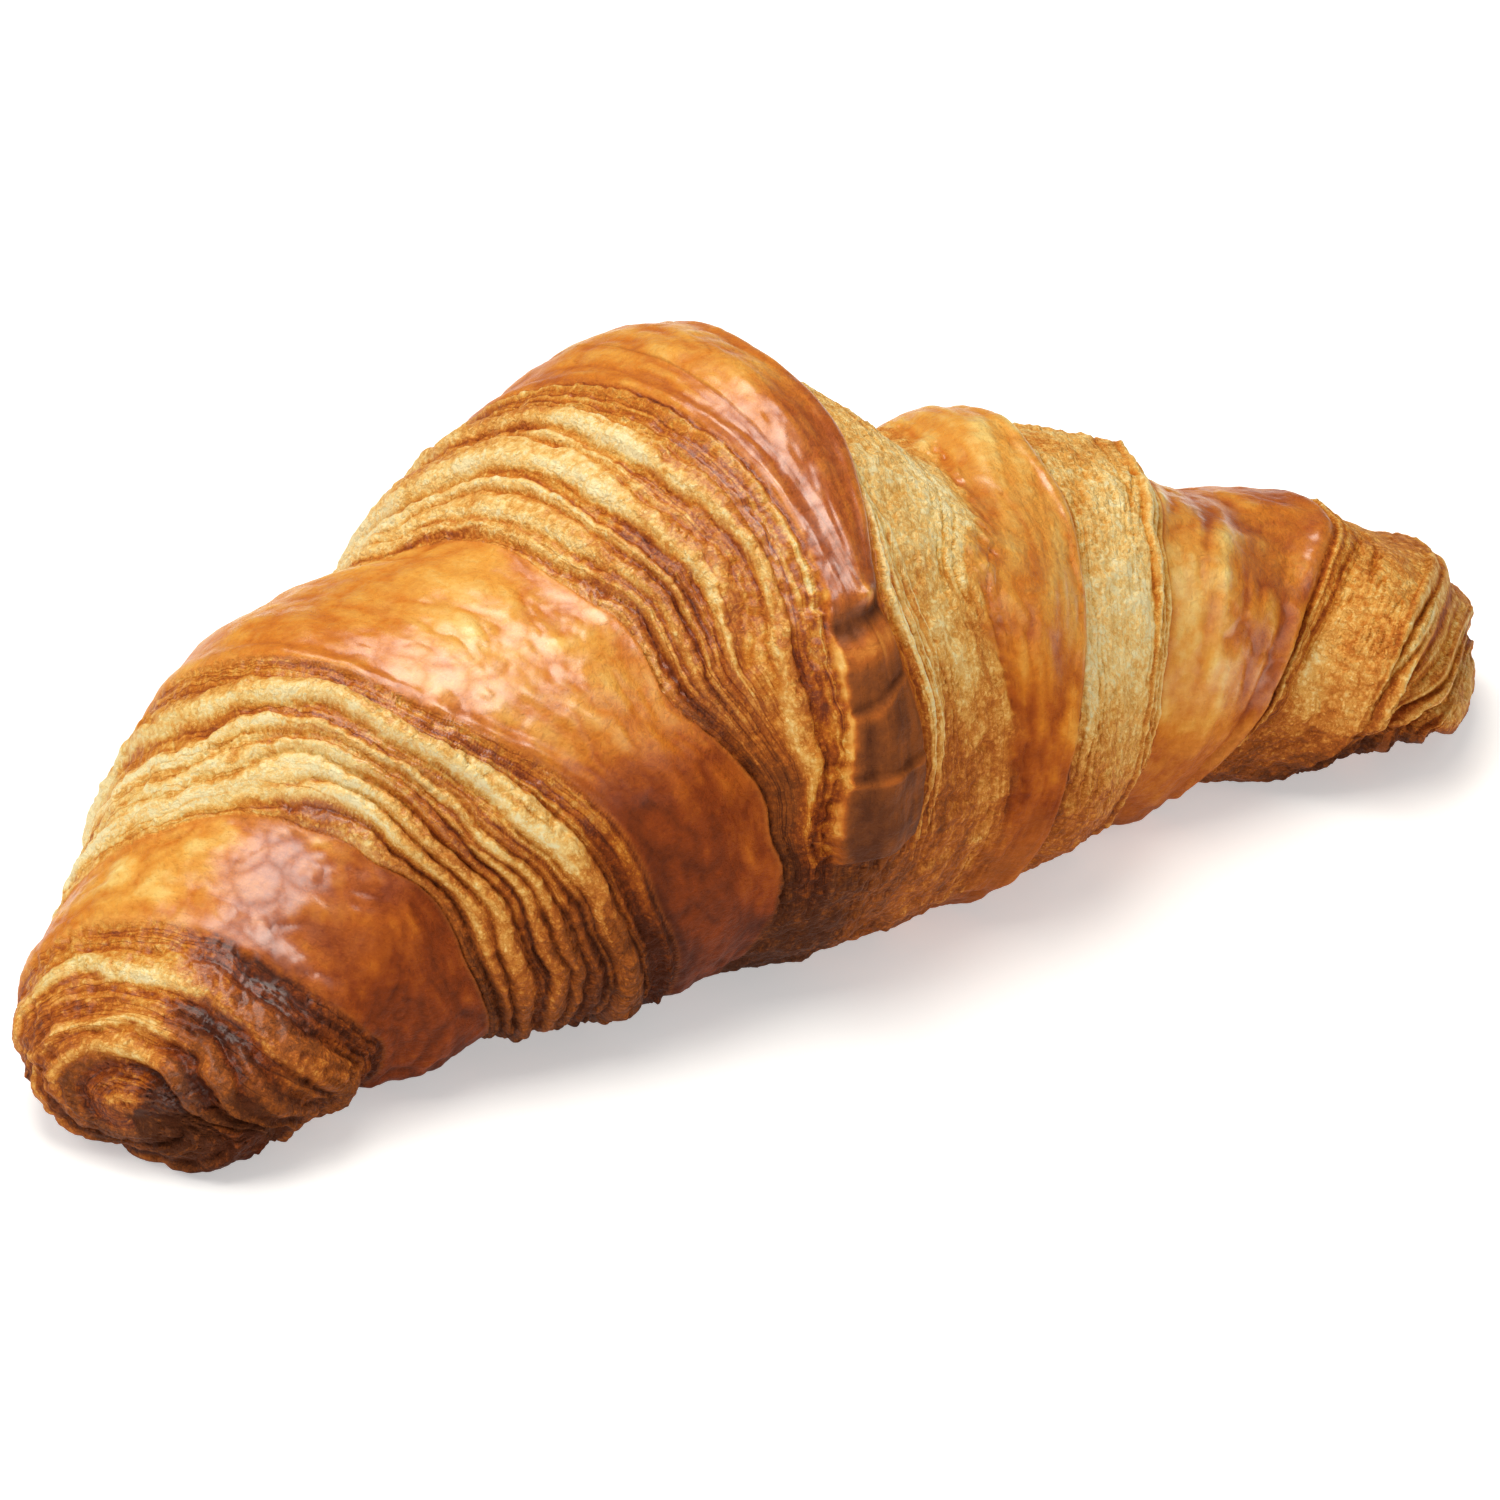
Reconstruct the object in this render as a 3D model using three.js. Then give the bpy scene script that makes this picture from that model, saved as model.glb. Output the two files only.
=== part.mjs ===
// A butter croissant, lying flat on its underside.
//
// Units are millimetres. +X runs along the roll from its thick end to its thin
// end, -Y is the side where the tongue of the last turn comes down, +Z is up.
// The origin is on the surface it rests on, under the middle of its length.
//
// A croissant is one long triangle of dough rolled up from its wide side, so
// the whole body is one spiral: every turn of the strip lies on a wider turn,
// and its two side edges wander outwards as the strip goes round. The surface
// is worked out on rings round the roll. A place on it has a position x along
// the roll and an angle round it: 0 degrees is the front, 90 the top,
// 180 the back and 270 the underside.

import * as THREE from 'three';

// ---- driving dimensions -------------------------------------------------

const LENGTH = 160;
const CAP_LENGTH = 11; // length of each round end
const CAP_FULLNESS = 2.5; // 2 is an ellipse, more is blunter

// Girth over the middle of the turns: half width, height, and how far the
// middle of the ring stands back from the front of the gentle crescent.
const GIRTH = [
  { x: -80, halfWidth: 15.1, height: 13.5, sway: -10.7 },
  { x: -69, halfWidth: 16.4, height: 21.5, sway: -1.9 },
  { x: -58, halfWidth: 20.2, height: 36.6, sway: 0.9 },
  { x: -46, halfWidth: 25.8, height: 39.5, sway: 2.7 },
  { x: -34, halfWidth: 28.4, height: 43.2, sway: 3.5 },
  { x: -22, halfWidth: 30.7, height: 50.6, sway: 4.8 },
  { x: -12, halfWidth: 33.7, height: 55, sway: 2.6 },
  { x: -3, halfWidth: 32.2, height: 55.5, sway: 2.7 },
  { x: 7, halfWidth: 31, height: 51.4, sway: 4.7 },
  { x: 17, halfWidth: 28.2, height: 41.2, sway: 1.6 },
  { x: 28, halfWidth: 22.5, height: 40.3, sway: 2.4 },
  { x: 40, halfWidth: 19.9, height: 35.2, sway: 2.2 },
  { x: 52, halfWidth: 17.7, height: 26, sway: -1.4 },
  { x: 62, halfWidth: 18.2, height: 23.3, sway: -7.7 },
  { x: 70, halfWidth: 15.4, height: 16, sway: -11.2 },
  { x: 80, halfWidth: 11, height: 11.5, sway: -8.6 },
];
const RING_MIDDLE = [[-80, 0.5], [-60, 0.42], [80, 0.42]]; // as a part of the height
const RING_SQUARENESS = 2.15; // 2 is an ellipse, more is boxier
const UNDERSIDE_PRESS = 1.15; // how far the round underside would sink in
const EDGE_SOFTNESS = 1.2; // rounding where the side meets the flat underside
const END_TURN = 30 * THREE.MathUtils.DEG2RAD; // both ends turn to the front
const END_TURN_FROM = 45;

// ---- the rolled strip ---------------------------------------------------

const TIP_TURN = -0.022; // the tongue ends just below the front
const STRIP_THICKNESS = 4.2; // how much one turn stands above the next
const TURNS = 6;

// The strip's two side edges: reach along the skin against turns of the strip,
// counted from the front of the tongue.
const LEFT_EDGE = [
  [-0.02, -14.8], [0.01, -15.7], [0.05, -14.2], [0.09, -13.9], [0.12, -12.5], [0.17, -12.4],
  [0.21, -13.5], [0.28, -15], [0.36, -17.8], [0.6, -21.5], [0.85, -25.5], [0.96, -29.6],
  [1.02, -32.8], [1.07, -36.2], [1.11, -40], [1.15, -45], [1.19, -48.8], [1.24, -52.8],
  [1.3, -56], [1.4, -57.5], [1.8, -58.5], [1.91, -59.3], [2.0, -65.6], [2.05, -68.3],
  [2.1, -70], [2.2, -71.2], [2.6, -73.5], [3.0, -78], [3.6, -84], [5, -93], [6, -96],
];
const RIGHT_EDGE = [
  [-0.02, -5.9], [0.04, -6.3], [0.1, -7.8], [0.14, -4.8], [0.18, -2], [0.27, 0], [0.36, 3],
  [0.6, 7], [0.85, 10.3], [0.95, 12.2], [1.03, 14.6], [1.08, 17.8], [1.12, 21.8], [1.16, 25],
  [1.2, 26.4], [1.28, 29.5], [1.5, 34], [1.8, 37.5], [1.92, 39.6], [2.03, 46.5], [2.17, 56.4],
  [2.25, 61], [2.5, 60], [2.8, 54], [2.95, 55.2], [3.01, 58.2], [3.07, 62.2], [3.18, 70],
  [3.23, 73], [3.5, 72], [3.8, 64], [3.95, 62], [4.08, 68], [4.15, 74], [4.25, 79],
  [4.5, 81], [6, 89],
];

// Beside the left edge the cut layers step down to the turn below in a fan.
// Beside the right edge there is a quick drop to a shelf, and one more at its
// end; the first drop's share of the height is nearly all of it at first.
const LEFT_FAN = [
  [-0.02, 3.9], [0.02, 4.6], [0.055, 8], [0.11, 13.6], [0.18, 16], [0.34, 19], [0.6, 18],
  [1.05, 18.3], [1.095, 20.2], [1.14, 17.2], [1.26, 10], [1.6, 12], [1.9, 16], [2.25, 9.2],
  [3, 7.2], [4, 4], [6, 2],
];
const RIGHT_DROP = [
  [-0.02, 4.2], [0.04, 5.4], [0.1, 6.8], [0.16, 2.7], [0.8, 2.5], [0.97, 1.6], [1.3, 1.5],
  [1.95, 3], [3, 2.2], [6, 2],
];
const RIGHT_SHELF = [
  [-0.02, 12], [0.05, 13], [0.19, 14], [0.32, 18], [0.6, 16], [0.9, 14.6], [1.08, 13.6],
  [1.14, 10.5], [1.3, 13.3], [1.95, 12.3], [2.15, 9.4], [2.3, 9], [3, 2.5], [6, 2],
];
const FIRST_DROP_SHARE = [[0, 0.95], [0.8, 0.9], [0.95, 0.55], [1.3, 0.5]];
const END_DROP = 3.5; // width of the drop at the end of a shelf
const FAN_FOLDS = 4;
const FOLD_DEPTH = 0.9;
const FOLDS_FROM = 3.5; // a fan narrower than this has no folds
const FOLDS_GROW_OVER = 7; // and one wider by this much has them at full depth
const CROWN = 1.4; // swelling of the bare band of each turn
const CROWN_EDGE = 7; // the swelling rises over this width beside its edges
const CROWN_EDGE_SHARE = 0.7; // or over this part of a narrow turn's width

// The tongue lies flat at its tip: it is nearly cut square there and thin, and
// the turn below it swells only outside of the place where it is pressed down.
const TIP_WALL = 0.3;
const TIP_SQUARE_LENGTH = 0.05;
const TIP_THINNING = 0.72;
const TIP_THIN_LENGTH = 0.06;
const PRESSED_LENGTH = 0.3;

// The mean number of turns below the top one, used to keep the girth true.
const MIDDLE_OF_TONGUE = -10;
const LEFT_PITCH = 29;
const RIGHT_PITCH = 26;
const TOP_ROUNDING = 0.25; // blunts the mean girth where both sides meet
const RING_MEAN_FROM = 58; // towards the ends, each ring uses its own mean
const RING_MEAN_WIDTH = 12;
const STEPS_SHRINK_FROM = 62; // the steps are lower over the round ends
const STEPS_SHRINK_WIDTH = 14;
const STEPS_SHRINK = 0.6;
const CLOSING_SCALE = 0.5; // below this ring scale the steps die out

// ---- mesh fineness ------------------------------------------------------

const BODY_RINGS = 92;
const CAP_RINGS = 7;
const AROUND = 46;

// ---- small helpers ------------------------------------------------------

const clamp01 = (value) => Math.min(1, Math.max(0, value));

const smoothStep = (value) => {
  const t = clamp01(value);
  return t * t * (3 - 2 * t);
};

// A smooth curve through hand-picked points, with slopes from the neighbours.
function curveThrough(points, at) {
  const last = points.length - 1;
  if (at <= points[0][0]) return points[0][1];
  if (at >= points[last][0]) return points[last][1];
  const i = points.findIndex((point) => point[0] > at) - 1;
  const slope = (k) => {
    const before = points[Math.max(0, k - 1)];
    const after = points[Math.min(last, k + 1)];
    return (after[1] - before[1]) / (after[0] - before[0]);
  };
  const step = points[i + 1][0] - points[i][0];
  const t = (at - points[i][0]) / step;
  const rise = points[i + 1][1] - points[i][1];
  const bend = t * (1 - t) * ((1 - t) * (slope(i) * step - rise) - t * (slope(i + 1) * step - rise));
  return points[i][1] + t * rise + bend;
}

const girthCurve = (key) => GIRTH.map((station) => [station.x, station[key]]);
const HALF_WIDTH = girthCurve('halfWidth');
const HEIGHT = girthCurve('height');
const SWAY = girthCurve('sway');

// ---- rings along the roll -----------------------------------------------

// Evenly along the body, by arc over the round ends. `reach` is the way along
// the skin from the middle, which goes on over the round ends to their tips.
function ringPlaces() {
  const body = LENGTH / 2 - CAP_LENGTH;
  const capPlace = (side, i) => {
    const arc = ((i / CAP_RINGS) * Math.PI) / 2;
    const outward = CAP_LENGTH * Math.sin(arc) ** (2 / CAP_FULLNESS);
    return { x: side * (body + outward), scale: Math.cos(arc) ** (2 / CAP_FULLNESS) };
  };
  const places = [];
  for (let i = CAP_RINGS - 1; i > 0; i -= 1) places.push(capPlace(-1, i));
  for (let i = 0; i <= BODY_RINGS; i += 1) places.push({ x: body * ((2 * i) / BODY_RINGS - 1), scale: 1 });
  for (let i = 1; i < CAP_RINGS; i += 1) places.push(capPlace(1, i));
  for (const place of places) place.radius = girthRadius(place.x);

  const middle = CAP_RINGS - 1 + BODY_RINGS / 2;
  const wayTo = (place, other) => {
    const inward = (other.scale - place.scale) * place.radius;
    return Math.hypot(place.x - other.x, inward);
  };
  places[middle].reach = 0;
  for (let i = middle + 1; i < places.length; i += 1) {
    places[i].reach = places[i - 1].reach + wayTo(places[i], places[i - 1]);
  }
  for (let i = middle - 1; i >= 0; i -= 1) {
    places[i].reach = places[i + 1].reach - wayTo(places[i], places[i + 1]);
  }
  return places;
}

function girthRadius(x) {
  return (curveThrough(HALF_WIDTH, x) + curveThrough(HEIGHT, x) / 2) / 2;
}

// ---- how the turns lie on each other ------------------------------------

// On the left, the layers of the cut edge climb from the foot to the edge.
function leftClimb(reach, count) {
  const width = curveThrough(LEFT_FAN, count);
  const along = clamp01((reach - curveThrough(LEFT_EDGE, count) + width) / width);
  const fold = along * FAN_FOLDS - Math.floor(along * FAN_FOLDS);
  const folded = along > 0 && along < 1 ? FOLD_DEPTH * (Math.sin(Math.PI * fold) - 0.5) : 0;
  return { climb: along, folded };
}

// On the right, there is one quick drop at the edge and one past a shelf.
function rightClimb(reach, count) {
  const past = reach - curveThrough(RIGHT_EDGE, count);
  const share = curveThrough(FIRST_DROP_SHARE, count);
  const first = smoothStep(past / curveThrough(RIGHT_DROP, count));
  const second = smoothStep((past - curveThrough(RIGHT_SHELF, count)) / END_DROP);
  return 1 - share * first - (1 - share) * second;
}

// How much of the tongue's thickness is there: nearly square and thin at its tip.
function tongueClimb(reach, lap, climb) {
  const pastTip = lap - TIP_TURN;
  const fromLeft = reach - curveThrough(LEFT_EDGE, lap);
  const fromRight = curveThrough(RIGHT_EDGE, lap) - reach;
  const square = smoothStep(fromLeft / TIP_WALL) * smoothStep(fromRight / TIP_WALL);
  const blended = square + (climb - square) * smoothStep(pastTip / TIP_SQUARE_LENGTH);
  return blended * (1 - TIP_THINNING * Math.exp(-pastTip / TIP_THIN_LENGTH));
}

// The bare band of a turn swells between its edges and the turn above it.
function crown(reach, n, lap) {
  const fromLeft = reach - curveThrough(LEFT_EDGE, n + lap);
  const fromRight = curveThrough(RIGHT_EDGE, n + lap) - reach;
  const edge = Math.min(CROWN_EDGE, CROWN_EDGE_SHARE * (fromLeft + fromRight));
  const above = n - 1 + lap;
  const foot = curveThrough(LEFT_EDGE, above) - curveThrough(LEFT_FAN, above);
  const shelfEnd = curveThrough(RIGHT_EDGE, above) + curveThrough(RIGHT_SHELF, above);
  const uncovered = reach < MIDDLE_OF_TONGUE ? foot - reach : reach - shelfEnd;
  const beforeTip = lap - 1 - TIP_TURN + PRESSED_LENGTH;
  const pressed = n > 0 ? 1 : smoothStep(beforeTip / (PRESSED_LENGTH / 2));
  const swell = smoothStep(fromLeft / edge) * smoothStep(fromRight / edge);
  return CROWN * swell * (1 - pressed * (1 - smoothStep(uncovered / CROWN_EDGE)));
}

// The turns that lie below the top one at a place, and the relief of the top one.
function stackAt(reach, lap) {
  let below = TURNS;
  let relief = 0;
  for (let n = 0; n < TURNS; n += 1) {
    const { climb, folded } = leftClimb(reach, n + lap);
    const whole = climb * rightClimb(reach, n + lap);
    below -= n > 0 ? whole : tongueClimb(reach, lap, whole);
    relief += folded * clamp01((curveThrough(LEFT_FAN, n + lap) - FOLDS_FROM) / FOLDS_GROW_OVER);
    relief += crown(reach, n, lap);
  }
  return { below, relief, lap };
}

// Heights of the stepped surface over the mean girth, for one whole ring.
function ringSteps(place) {
  const stacks = Array.from({ length: AROUND }, (_, j) => stackAt(place.reach, TIP_TURN + j / AROUND));
  const ringMean = stacks.reduce((sum, stack) => sum + stack.below + stack.lap, 0) / AROUND;
  const far = Math.abs(place.reach);
  const pitch = place.reach < MIDDLE_OF_TONGUE ? LEFT_PITCH : RIGHT_PITCH;
  const evenMean = Math.hypot((place.reach - MIDDLE_OF_TONGUE) / pitch, TOP_ROUNDING);
  const mean = evenMean + (ringMean - evenMean) * smoothStep((far - RING_MEAN_FROM) / RING_MEAN_WIDTH);
  const shrink = 1 - STEPS_SHRINK * smoothStep((far - STEPS_SHRINK_FROM) / STEPS_SHRINK_WIDTH);
  const fade = shrink * smoothStep(place.scale / CLOSING_SCALE);
  return stacks.map(({ below, relief, lap }) => fade * (STRIP_THICKNESS * (mean - below - lap) + relief));
}

// ---- the surface --------------------------------------------------------

// The skin moves out along its own direction, which turns from sideways to
// lengthways over the round ends.
function outwardDirection(place) {
  const overCap = clamp01((Math.abs(place.x) - LENGTH / 2 + CAP_LENGTH) / CAP_LENGTH);
  const lengthways = overCap ** (CAP_FULLNESS - 1) / CAP_LENGTH;
  const sideways = place.scale ** (CAP_FULLNESS - 1) / place.radius;
  const total = Math.hypot(lengthways, sideways);
  return { lengthways: (Math.sign(place.x) * lengthways) / total, sideways: sideways / total };
}

function surfacePoint(place, lap, step) {
  const { x, scale } = place;
  const { lengthways, sideways } = outwardDirection(place);
  const cos = Math.cos(2 * Math.PI * lap);
  const sin = Math.sin(2 * Math.PI * lap);
  const boxy = Math.abs(cos) ** RING_SQUARENESS + Math.abs(sin) ** RING_SQUARENESS;
  const unit = boxy ** (-1 / RING_SQUARENESS);
  const height = curveThrough(HEIGHT, x);
  const middle = curveThrough(RING_MIDDLE, x) * height;
  const halfWidth = curveThrough(HALF_WIDTH, x) * scale + step * sideways;
  const reachUp = (height - middle) * scale + step * sideways;
  const reachDown = UNDERSIDE_PRESS * middle * scale + step * sideways;
  const aside = -halfWidth * cos * unit;
  const free = middle + (sin > 0 ? reachUp : reachDown) * sin * unit;
  const soft = 0.5 * (free + Math.hypot(free, EDGE_SOFTNESS)) - 0.25 * EDGE_SOFTNESS;
  const along = smoothStep((Math.abs(x) - END_TURN_FROM) / (LENGTH / 2 - END_TURN_FROM));
  const bend = -Math.sign(x) * END_TURN * along;
  const ahead = step * lengthways;
  return new THREE.Vector3(
    x + ahead * Math.cos(bend) - aside * Math.sin(bend),
    curveThrough(SWAY, x) + ahead * Math.sin(bend) + aside * Math.cos(bend),
    Math.max(0, soft),
  );
}

// Both ends close in one point. The quads between rings are split along the
// edges of the strip, which run one way on the left and the other on the right.
function croissantGeometry() {
  const places = ringPlaces();
  const positions = [];
  for (const place of places) {
    ringSteps(place).forEach((step, j) => {
      positions.push(...surfacePoint(place, TIP_TURN + j / AROUND, step).toArray());
    });
  }
  const leftPole = places.length * AROUND;
  const rightPole = leftPole + 1;
  for (const side of [-1, 1]) {
    const x = (side * LENGTH) / 2;
    positions.push(...surfacePoint({ x, scale: 0, radius: girthRadius(x) }, 0, 0).toArray());
  }

  const indices = [];
  for (let j = 0; j < AROUND; j += 1) {
    const next = (j + 1) % AROUND;
    const lastRing = (places.length - 1) * AROUND;
    indices.push(leftPole, j, next);
    indices.push(rightPole, lastRing + next, lastRing + j);
    for (let i = 0; i + 1 < places.length; i += 1) {
      const here = i * AROUND + j;
      const above = i * AROUND + next;
      const ahead = here + AROUND;
      const across = above + AROUND;
      if (places[i].x < MIDDLE_OF_TONGUE) indices.push(here, ahead, above, above, ahead, across);
      else indices.push(here, ahead, across, here, across, above);
    }
  }
  const geometry = new THREE.BufferGeometry();
  geometry.setAttribute('position', new THREE.Float32BufferAttribute(positions, 3));
  geometry.setIndex(indices);
  geometry.computeBoundingBox();
  const middle = geometry.boundingBox.getCenter(new THREE.Vector3());
  geometry.translate(-middle.x, -middle.y, 0);
  geometry.computeVertexNormals();
  return geometry;
}

const crust = new THREE.MeshStandardMaterial({ color: 0xc8823a, roughness: 0.45, metalness: 0 });
const croissant = new THREE.Mesh(croissantGeometry(), crust);
croissant.name = 'croissant';

const model = new THREE.Group();
model.add(croissant);
export default model;
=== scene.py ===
# %% [markdown]
# # A butter croissant
#
# A croissant is one long triangle of layered dough, rolled up from its wide side. The
# oven turns its bare skin to a glossy amber crust, while the cut sides of the strip
# stay pale and open into dozens of paper-thin leaves. In this lesson we build that
# skin as one very fine grid of points, wrapped round the roll, and let formulas push
# each point in or out. The masks that the formulas leave behind tell the material
# where the dough is glazed, where it is cut, and where a crease is in shadow.

# %% Load the frame
import math

import bpy
import numpy as np
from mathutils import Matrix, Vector


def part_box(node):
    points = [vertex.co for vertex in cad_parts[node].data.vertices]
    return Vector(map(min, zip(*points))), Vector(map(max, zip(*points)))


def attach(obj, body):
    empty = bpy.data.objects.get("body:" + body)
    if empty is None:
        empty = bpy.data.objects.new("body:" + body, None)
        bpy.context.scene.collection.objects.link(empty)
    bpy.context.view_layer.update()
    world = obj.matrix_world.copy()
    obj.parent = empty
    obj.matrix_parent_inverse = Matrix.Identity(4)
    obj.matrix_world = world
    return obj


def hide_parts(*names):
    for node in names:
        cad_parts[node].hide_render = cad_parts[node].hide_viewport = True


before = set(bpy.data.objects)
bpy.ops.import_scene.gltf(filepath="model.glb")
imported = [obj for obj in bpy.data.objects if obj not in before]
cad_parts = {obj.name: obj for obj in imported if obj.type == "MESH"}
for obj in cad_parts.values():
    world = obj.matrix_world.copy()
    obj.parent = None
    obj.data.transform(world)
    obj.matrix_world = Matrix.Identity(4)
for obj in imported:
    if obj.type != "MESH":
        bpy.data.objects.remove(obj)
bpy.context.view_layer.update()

NODE = "croissant"
LOW, HIGH = (np.array(corner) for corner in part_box(NODE))
SPAN = HIGH - LOW
print("frame box in mm:", np.round(SPAN * 1000, 1))

# %% [markdown]
# ## Units and small helpers
#
# The shape below is written in the millimetres of the whole roll, which is as long as
# the frame says. `ramp` eases from 0 to 1 over a stretch, `hill` is a soft bump, and
# `curve_through` draws a smooth curve through a few given points.
# Nearly everything here is made of these three, which keeps the shape easy to change.

# %% Helpers
DESIGN_LENGTH = 167.8
MM = SPAN[0] / DESIGN_LENGTH


def clamp01(value):
    return np.clip(value, 0.0, 1.0)


def smooth_step(value):
    t = clamp01(value)
    return t * t * (3 - 2 * t)


def ramp(value, start, width):
    """Eases from 0 to 1 from `start` on over `width`; below 0 the width goes downwards."""
    return smooth_step((value - start) / width)


def hill(distance, width):
    """A soft hill of height 1 where the distance is 0."""
    return np.exp(-((distance / width) ** 2))


def curve_through(points, at):
    places, values = np.array(points, float).T
    at = np.clip(np.asarray(at, float), places[0], places[-1])
    i = np.clip(np.searchsorted(places, at, side="right") - 1, 0, len(places) - 2)
    slope = np.empty_like(values)
    slope[1:-1] = (values[2:] - values[:-2]) / (places[2:] - places[:-2])
    slope[0] = (values[1] - values[0]) / (places[1] - places[0])
    slope[-1] = (values[-1] - values[-2]) / (places[-1] - places[-2])
    step = places[i + 1] - places[i]
    t = (at - places[i]) / step
    rise = values[i + 1] - values[i]
    bend = t * (1 - t) * ((1 - t) * (slope[i] * step - rise) - t * (slope[i + 1] * step - rise))
    return values[i] + t * rise + bend


print("one millimetre of the design is", round(MM * 1000, 3), "mm here")

# %% [markdown]
# ## Noise
#
# Dough is never regular, so we need noise that can be asked for at any point. This is
# plain lattice noise: random numbers sit on the corners of a cube grid and are blended
# in between. The table of random numbers comes from a fixed seed, so the croissant
# bakes the same way every time. With a period the noise repeats along x, which lets it
# close on itself where one turn of the strip passes into the next.

# %% Noise
TABLE_SIZE = 4096
RANDOM_TABLE = np.random.default_rng(20).uniform(-1, 1, TABLE_SIZE).astype(np.float32)
SEED_STEP, AXIS_PRIMES, SCRAMBLE = 1013, (73856093, 19349663, 83492791), 1274126177


def noise(x, y, z=0.5, seed=0, period=0):
    """Smooth noise from about -1 to 1 at each point."""
    x, y, z = np.broadcast_arrays(x, y, z)
    cells, weights = [], []
    for value in (x, y, z):
        cell = np.floor(value).astype(np.int64)
        cells.append(cell)
        weights.append(smooth_step(value - cell).astype(np.float32))
    total = np.zeros(x.shape, np.float32)
    for corner in range(8):
        key, weight = seed * SEED_STEP, 1.0
        for axis, prime in enumerate(AXIS_PRIMES):
            bit = corner >> axis & 1
            cell = cells[axis] + bit
            if axis == 0 and period:
                cell = cell % period
            key = key ^ (cell * prime)
            weight = weight * (weights[axis] if bit else 1 - weights[axis])
        key = (key ^ (key >> 13)) * SCRAMBLE
        total += weight * RANDOM_TABLE[(key ^ (key >> 16)) % TABLE_SIZE]
    return total


def layered_noise(x, y, z, seed=0, octaves=3, period=0):
    total, size = 0.0, 1.0
    for octave in range(octaves):
        scale = 2**octave
        total = total + size * noise(x * scale, y * scale, z * scale, seed + octave, period * scale)
        size *= 0.5
    return total


print("noise table:", TABLE_SIZE, "numbers, mean", RANDOM_TABLE.mean().round(3))

# %% [markdown]
# ## Girth of the roll
#
# The roll is fat in the middle and slim at its ends, a little thicker on the left. We
# give half its width, its height and how far it sways back at sixteen places, measured
# over the middle of its turns. The ends are round and turn gently to the front, which is
# the crescent that gives the croissant its name.

# %% Girth
HALF_LENGTH, CAP_LENGTH, CAP_FULLNESS = 80.0, 11.0, 2.5
GIRTH_PLACES = [-80, -69, -58, -46, -34, -22, -12, -3, 7, 17, 28, 40, 52, 62, 70, 80]
HALF_WIDTH = list(zip(GIRTH_PLACES, [
    15.1, 16.4, 20.2, 25.8, 28.4, 30.7, 33.7, 32.2, 31, 28.2, 22.5, 19.9, 17.7, 18.2, 15.4, 11,
]))
HEIGHT = list(zip(GIRTH_PLACES, [
    13.5, 21.5, 36.6, 39.5, 43.2, 50.6, 55, 55.5, 51.4, 41.2, 40.3, 35.2, 26, 23.3, 16, 11.5,
]))
SWAY = list(zip(GIRTH_PLACES, [
    -10.7, -1.9, 0.9, 2.7, 3.5, 4.8, 2.6, 2.7, 4.7, 1.6, 2.4, 2.2, -1.4, -7.7, -11.2, -8.6,
]))
RING_MIDDLE = [(-80, 0.5), (-60, 0.42), (80, 0.42)]
RING_SQUARENESS = 2.15
UNDERSIDE_PRESS = 1.15
EDGE_SOFTNESS = 1.2
END_TURN = math.radians(30)
END_TURN_FROM = 45.0
print("the roll is", 2 * HALF_LENGTH, "mm long, and", len(GIRTH_PLACES), "girths are given")

# %% [markdown]
# ## The grid
#
# Rings of points stand along the roll, crowded together over the round ends. Round
# each ring the points are denser on top than underneath, where nobody looks. `REACH`
# is the way along the skin from the middle of the roll, which also goes on over the
# round ends, up to the very tip.

# %% Grid
TIP_TURN = -0.022
BODY_RINGS, CAP_RINGS, AROUND = 710, 66, 540
FINE_LAPS, DENSEST_LAP, UNDERSIDE_DENSITY = 2000, 0.27, 0.55


def ring_places():
    body = HALF_LENGTH - CAP_LENGTH
    arc = np.linspace(0, math.pi / 2, CAP_RINGS + 1)[1:-1]
    cap = body + CAP_LENGTH * np.sin(arc) ** (2 / CAP_FULLNESS)
    cap_scale = np.cos(arc) ** (2 / CAP_FULLNESS)
    places = np.concatenate([-cap[::-1], np.linspace(-body, body, BODY_RINGS + 1), cap])
    scales = np.concatenate([cap_scale[::-1], np.ones(BODY_RINGS + 1), cap_scale])
    return places[:, None], scales[:, None]


def lap_places():
    even = np.linspace(0, 1, FINE_LAPS + 1)
    on_top = ramp(np.cos(2 * math.pi * (even - DENSEST_LAP)), -0.75, 0.5)
    density = UNDERSIDE_DENSITY + (1 - UNDERSIDE_DENSITY) * on_top
    reach = np.concatenate([[0], np.cumsum(density[:-1])])
    reach /= reach[-1]
    return TIP_TURN + np.interp(np.arange(AROUND) / AROUND, reach, even)[None, :]


PLACE, CAP_SCALE = ring_places()
LAP = lap_places()
COS, SIN = np.cos(2 * math.pi * LAP), np.sin(2 * math.pi * LAP)
GRID = (len(PLACE), AROUND)
GIRTH_RADIUS = (curve_through(HALF_WIDTH, PLACE) + curve_through(HEIGHT, PLACE) / 2) / 2


def skin_reach():
    shrink = np.diff(CAP_SCALE[:, 0]) * GIRTH_RADIUS[1:, 0]
    way = np.concatenate([[0], np.cumsum(np.hypot(np.diff(PLACE[:, 0]), shrink))])
    from_middle = way - way[-1] / 2
    return (from_middle - np.interp(0, PLACE[:, 0], from_middle))[:, None]


REACH = skin_reach()
print("grid:", *GRID, "reach from", REACH[0].round(1), "to", REACH[-1].round(1))

# %% [markdown]
# ## The strip and its edges
#
# A place on the strip is counted in turns from the tip of its tongue, which comes down
# over the front. `lap` is the angle round the roll as a part of a turn: 0 is the front,
# a quarter is the top, a half is the back. The strip is `n + lap` turns long when it
# passes there for the nth time, so one curve for each edge describes every turn at once.
# Turn -1 does not exist as dough: it only lets the creases run out below the tip.

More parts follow.
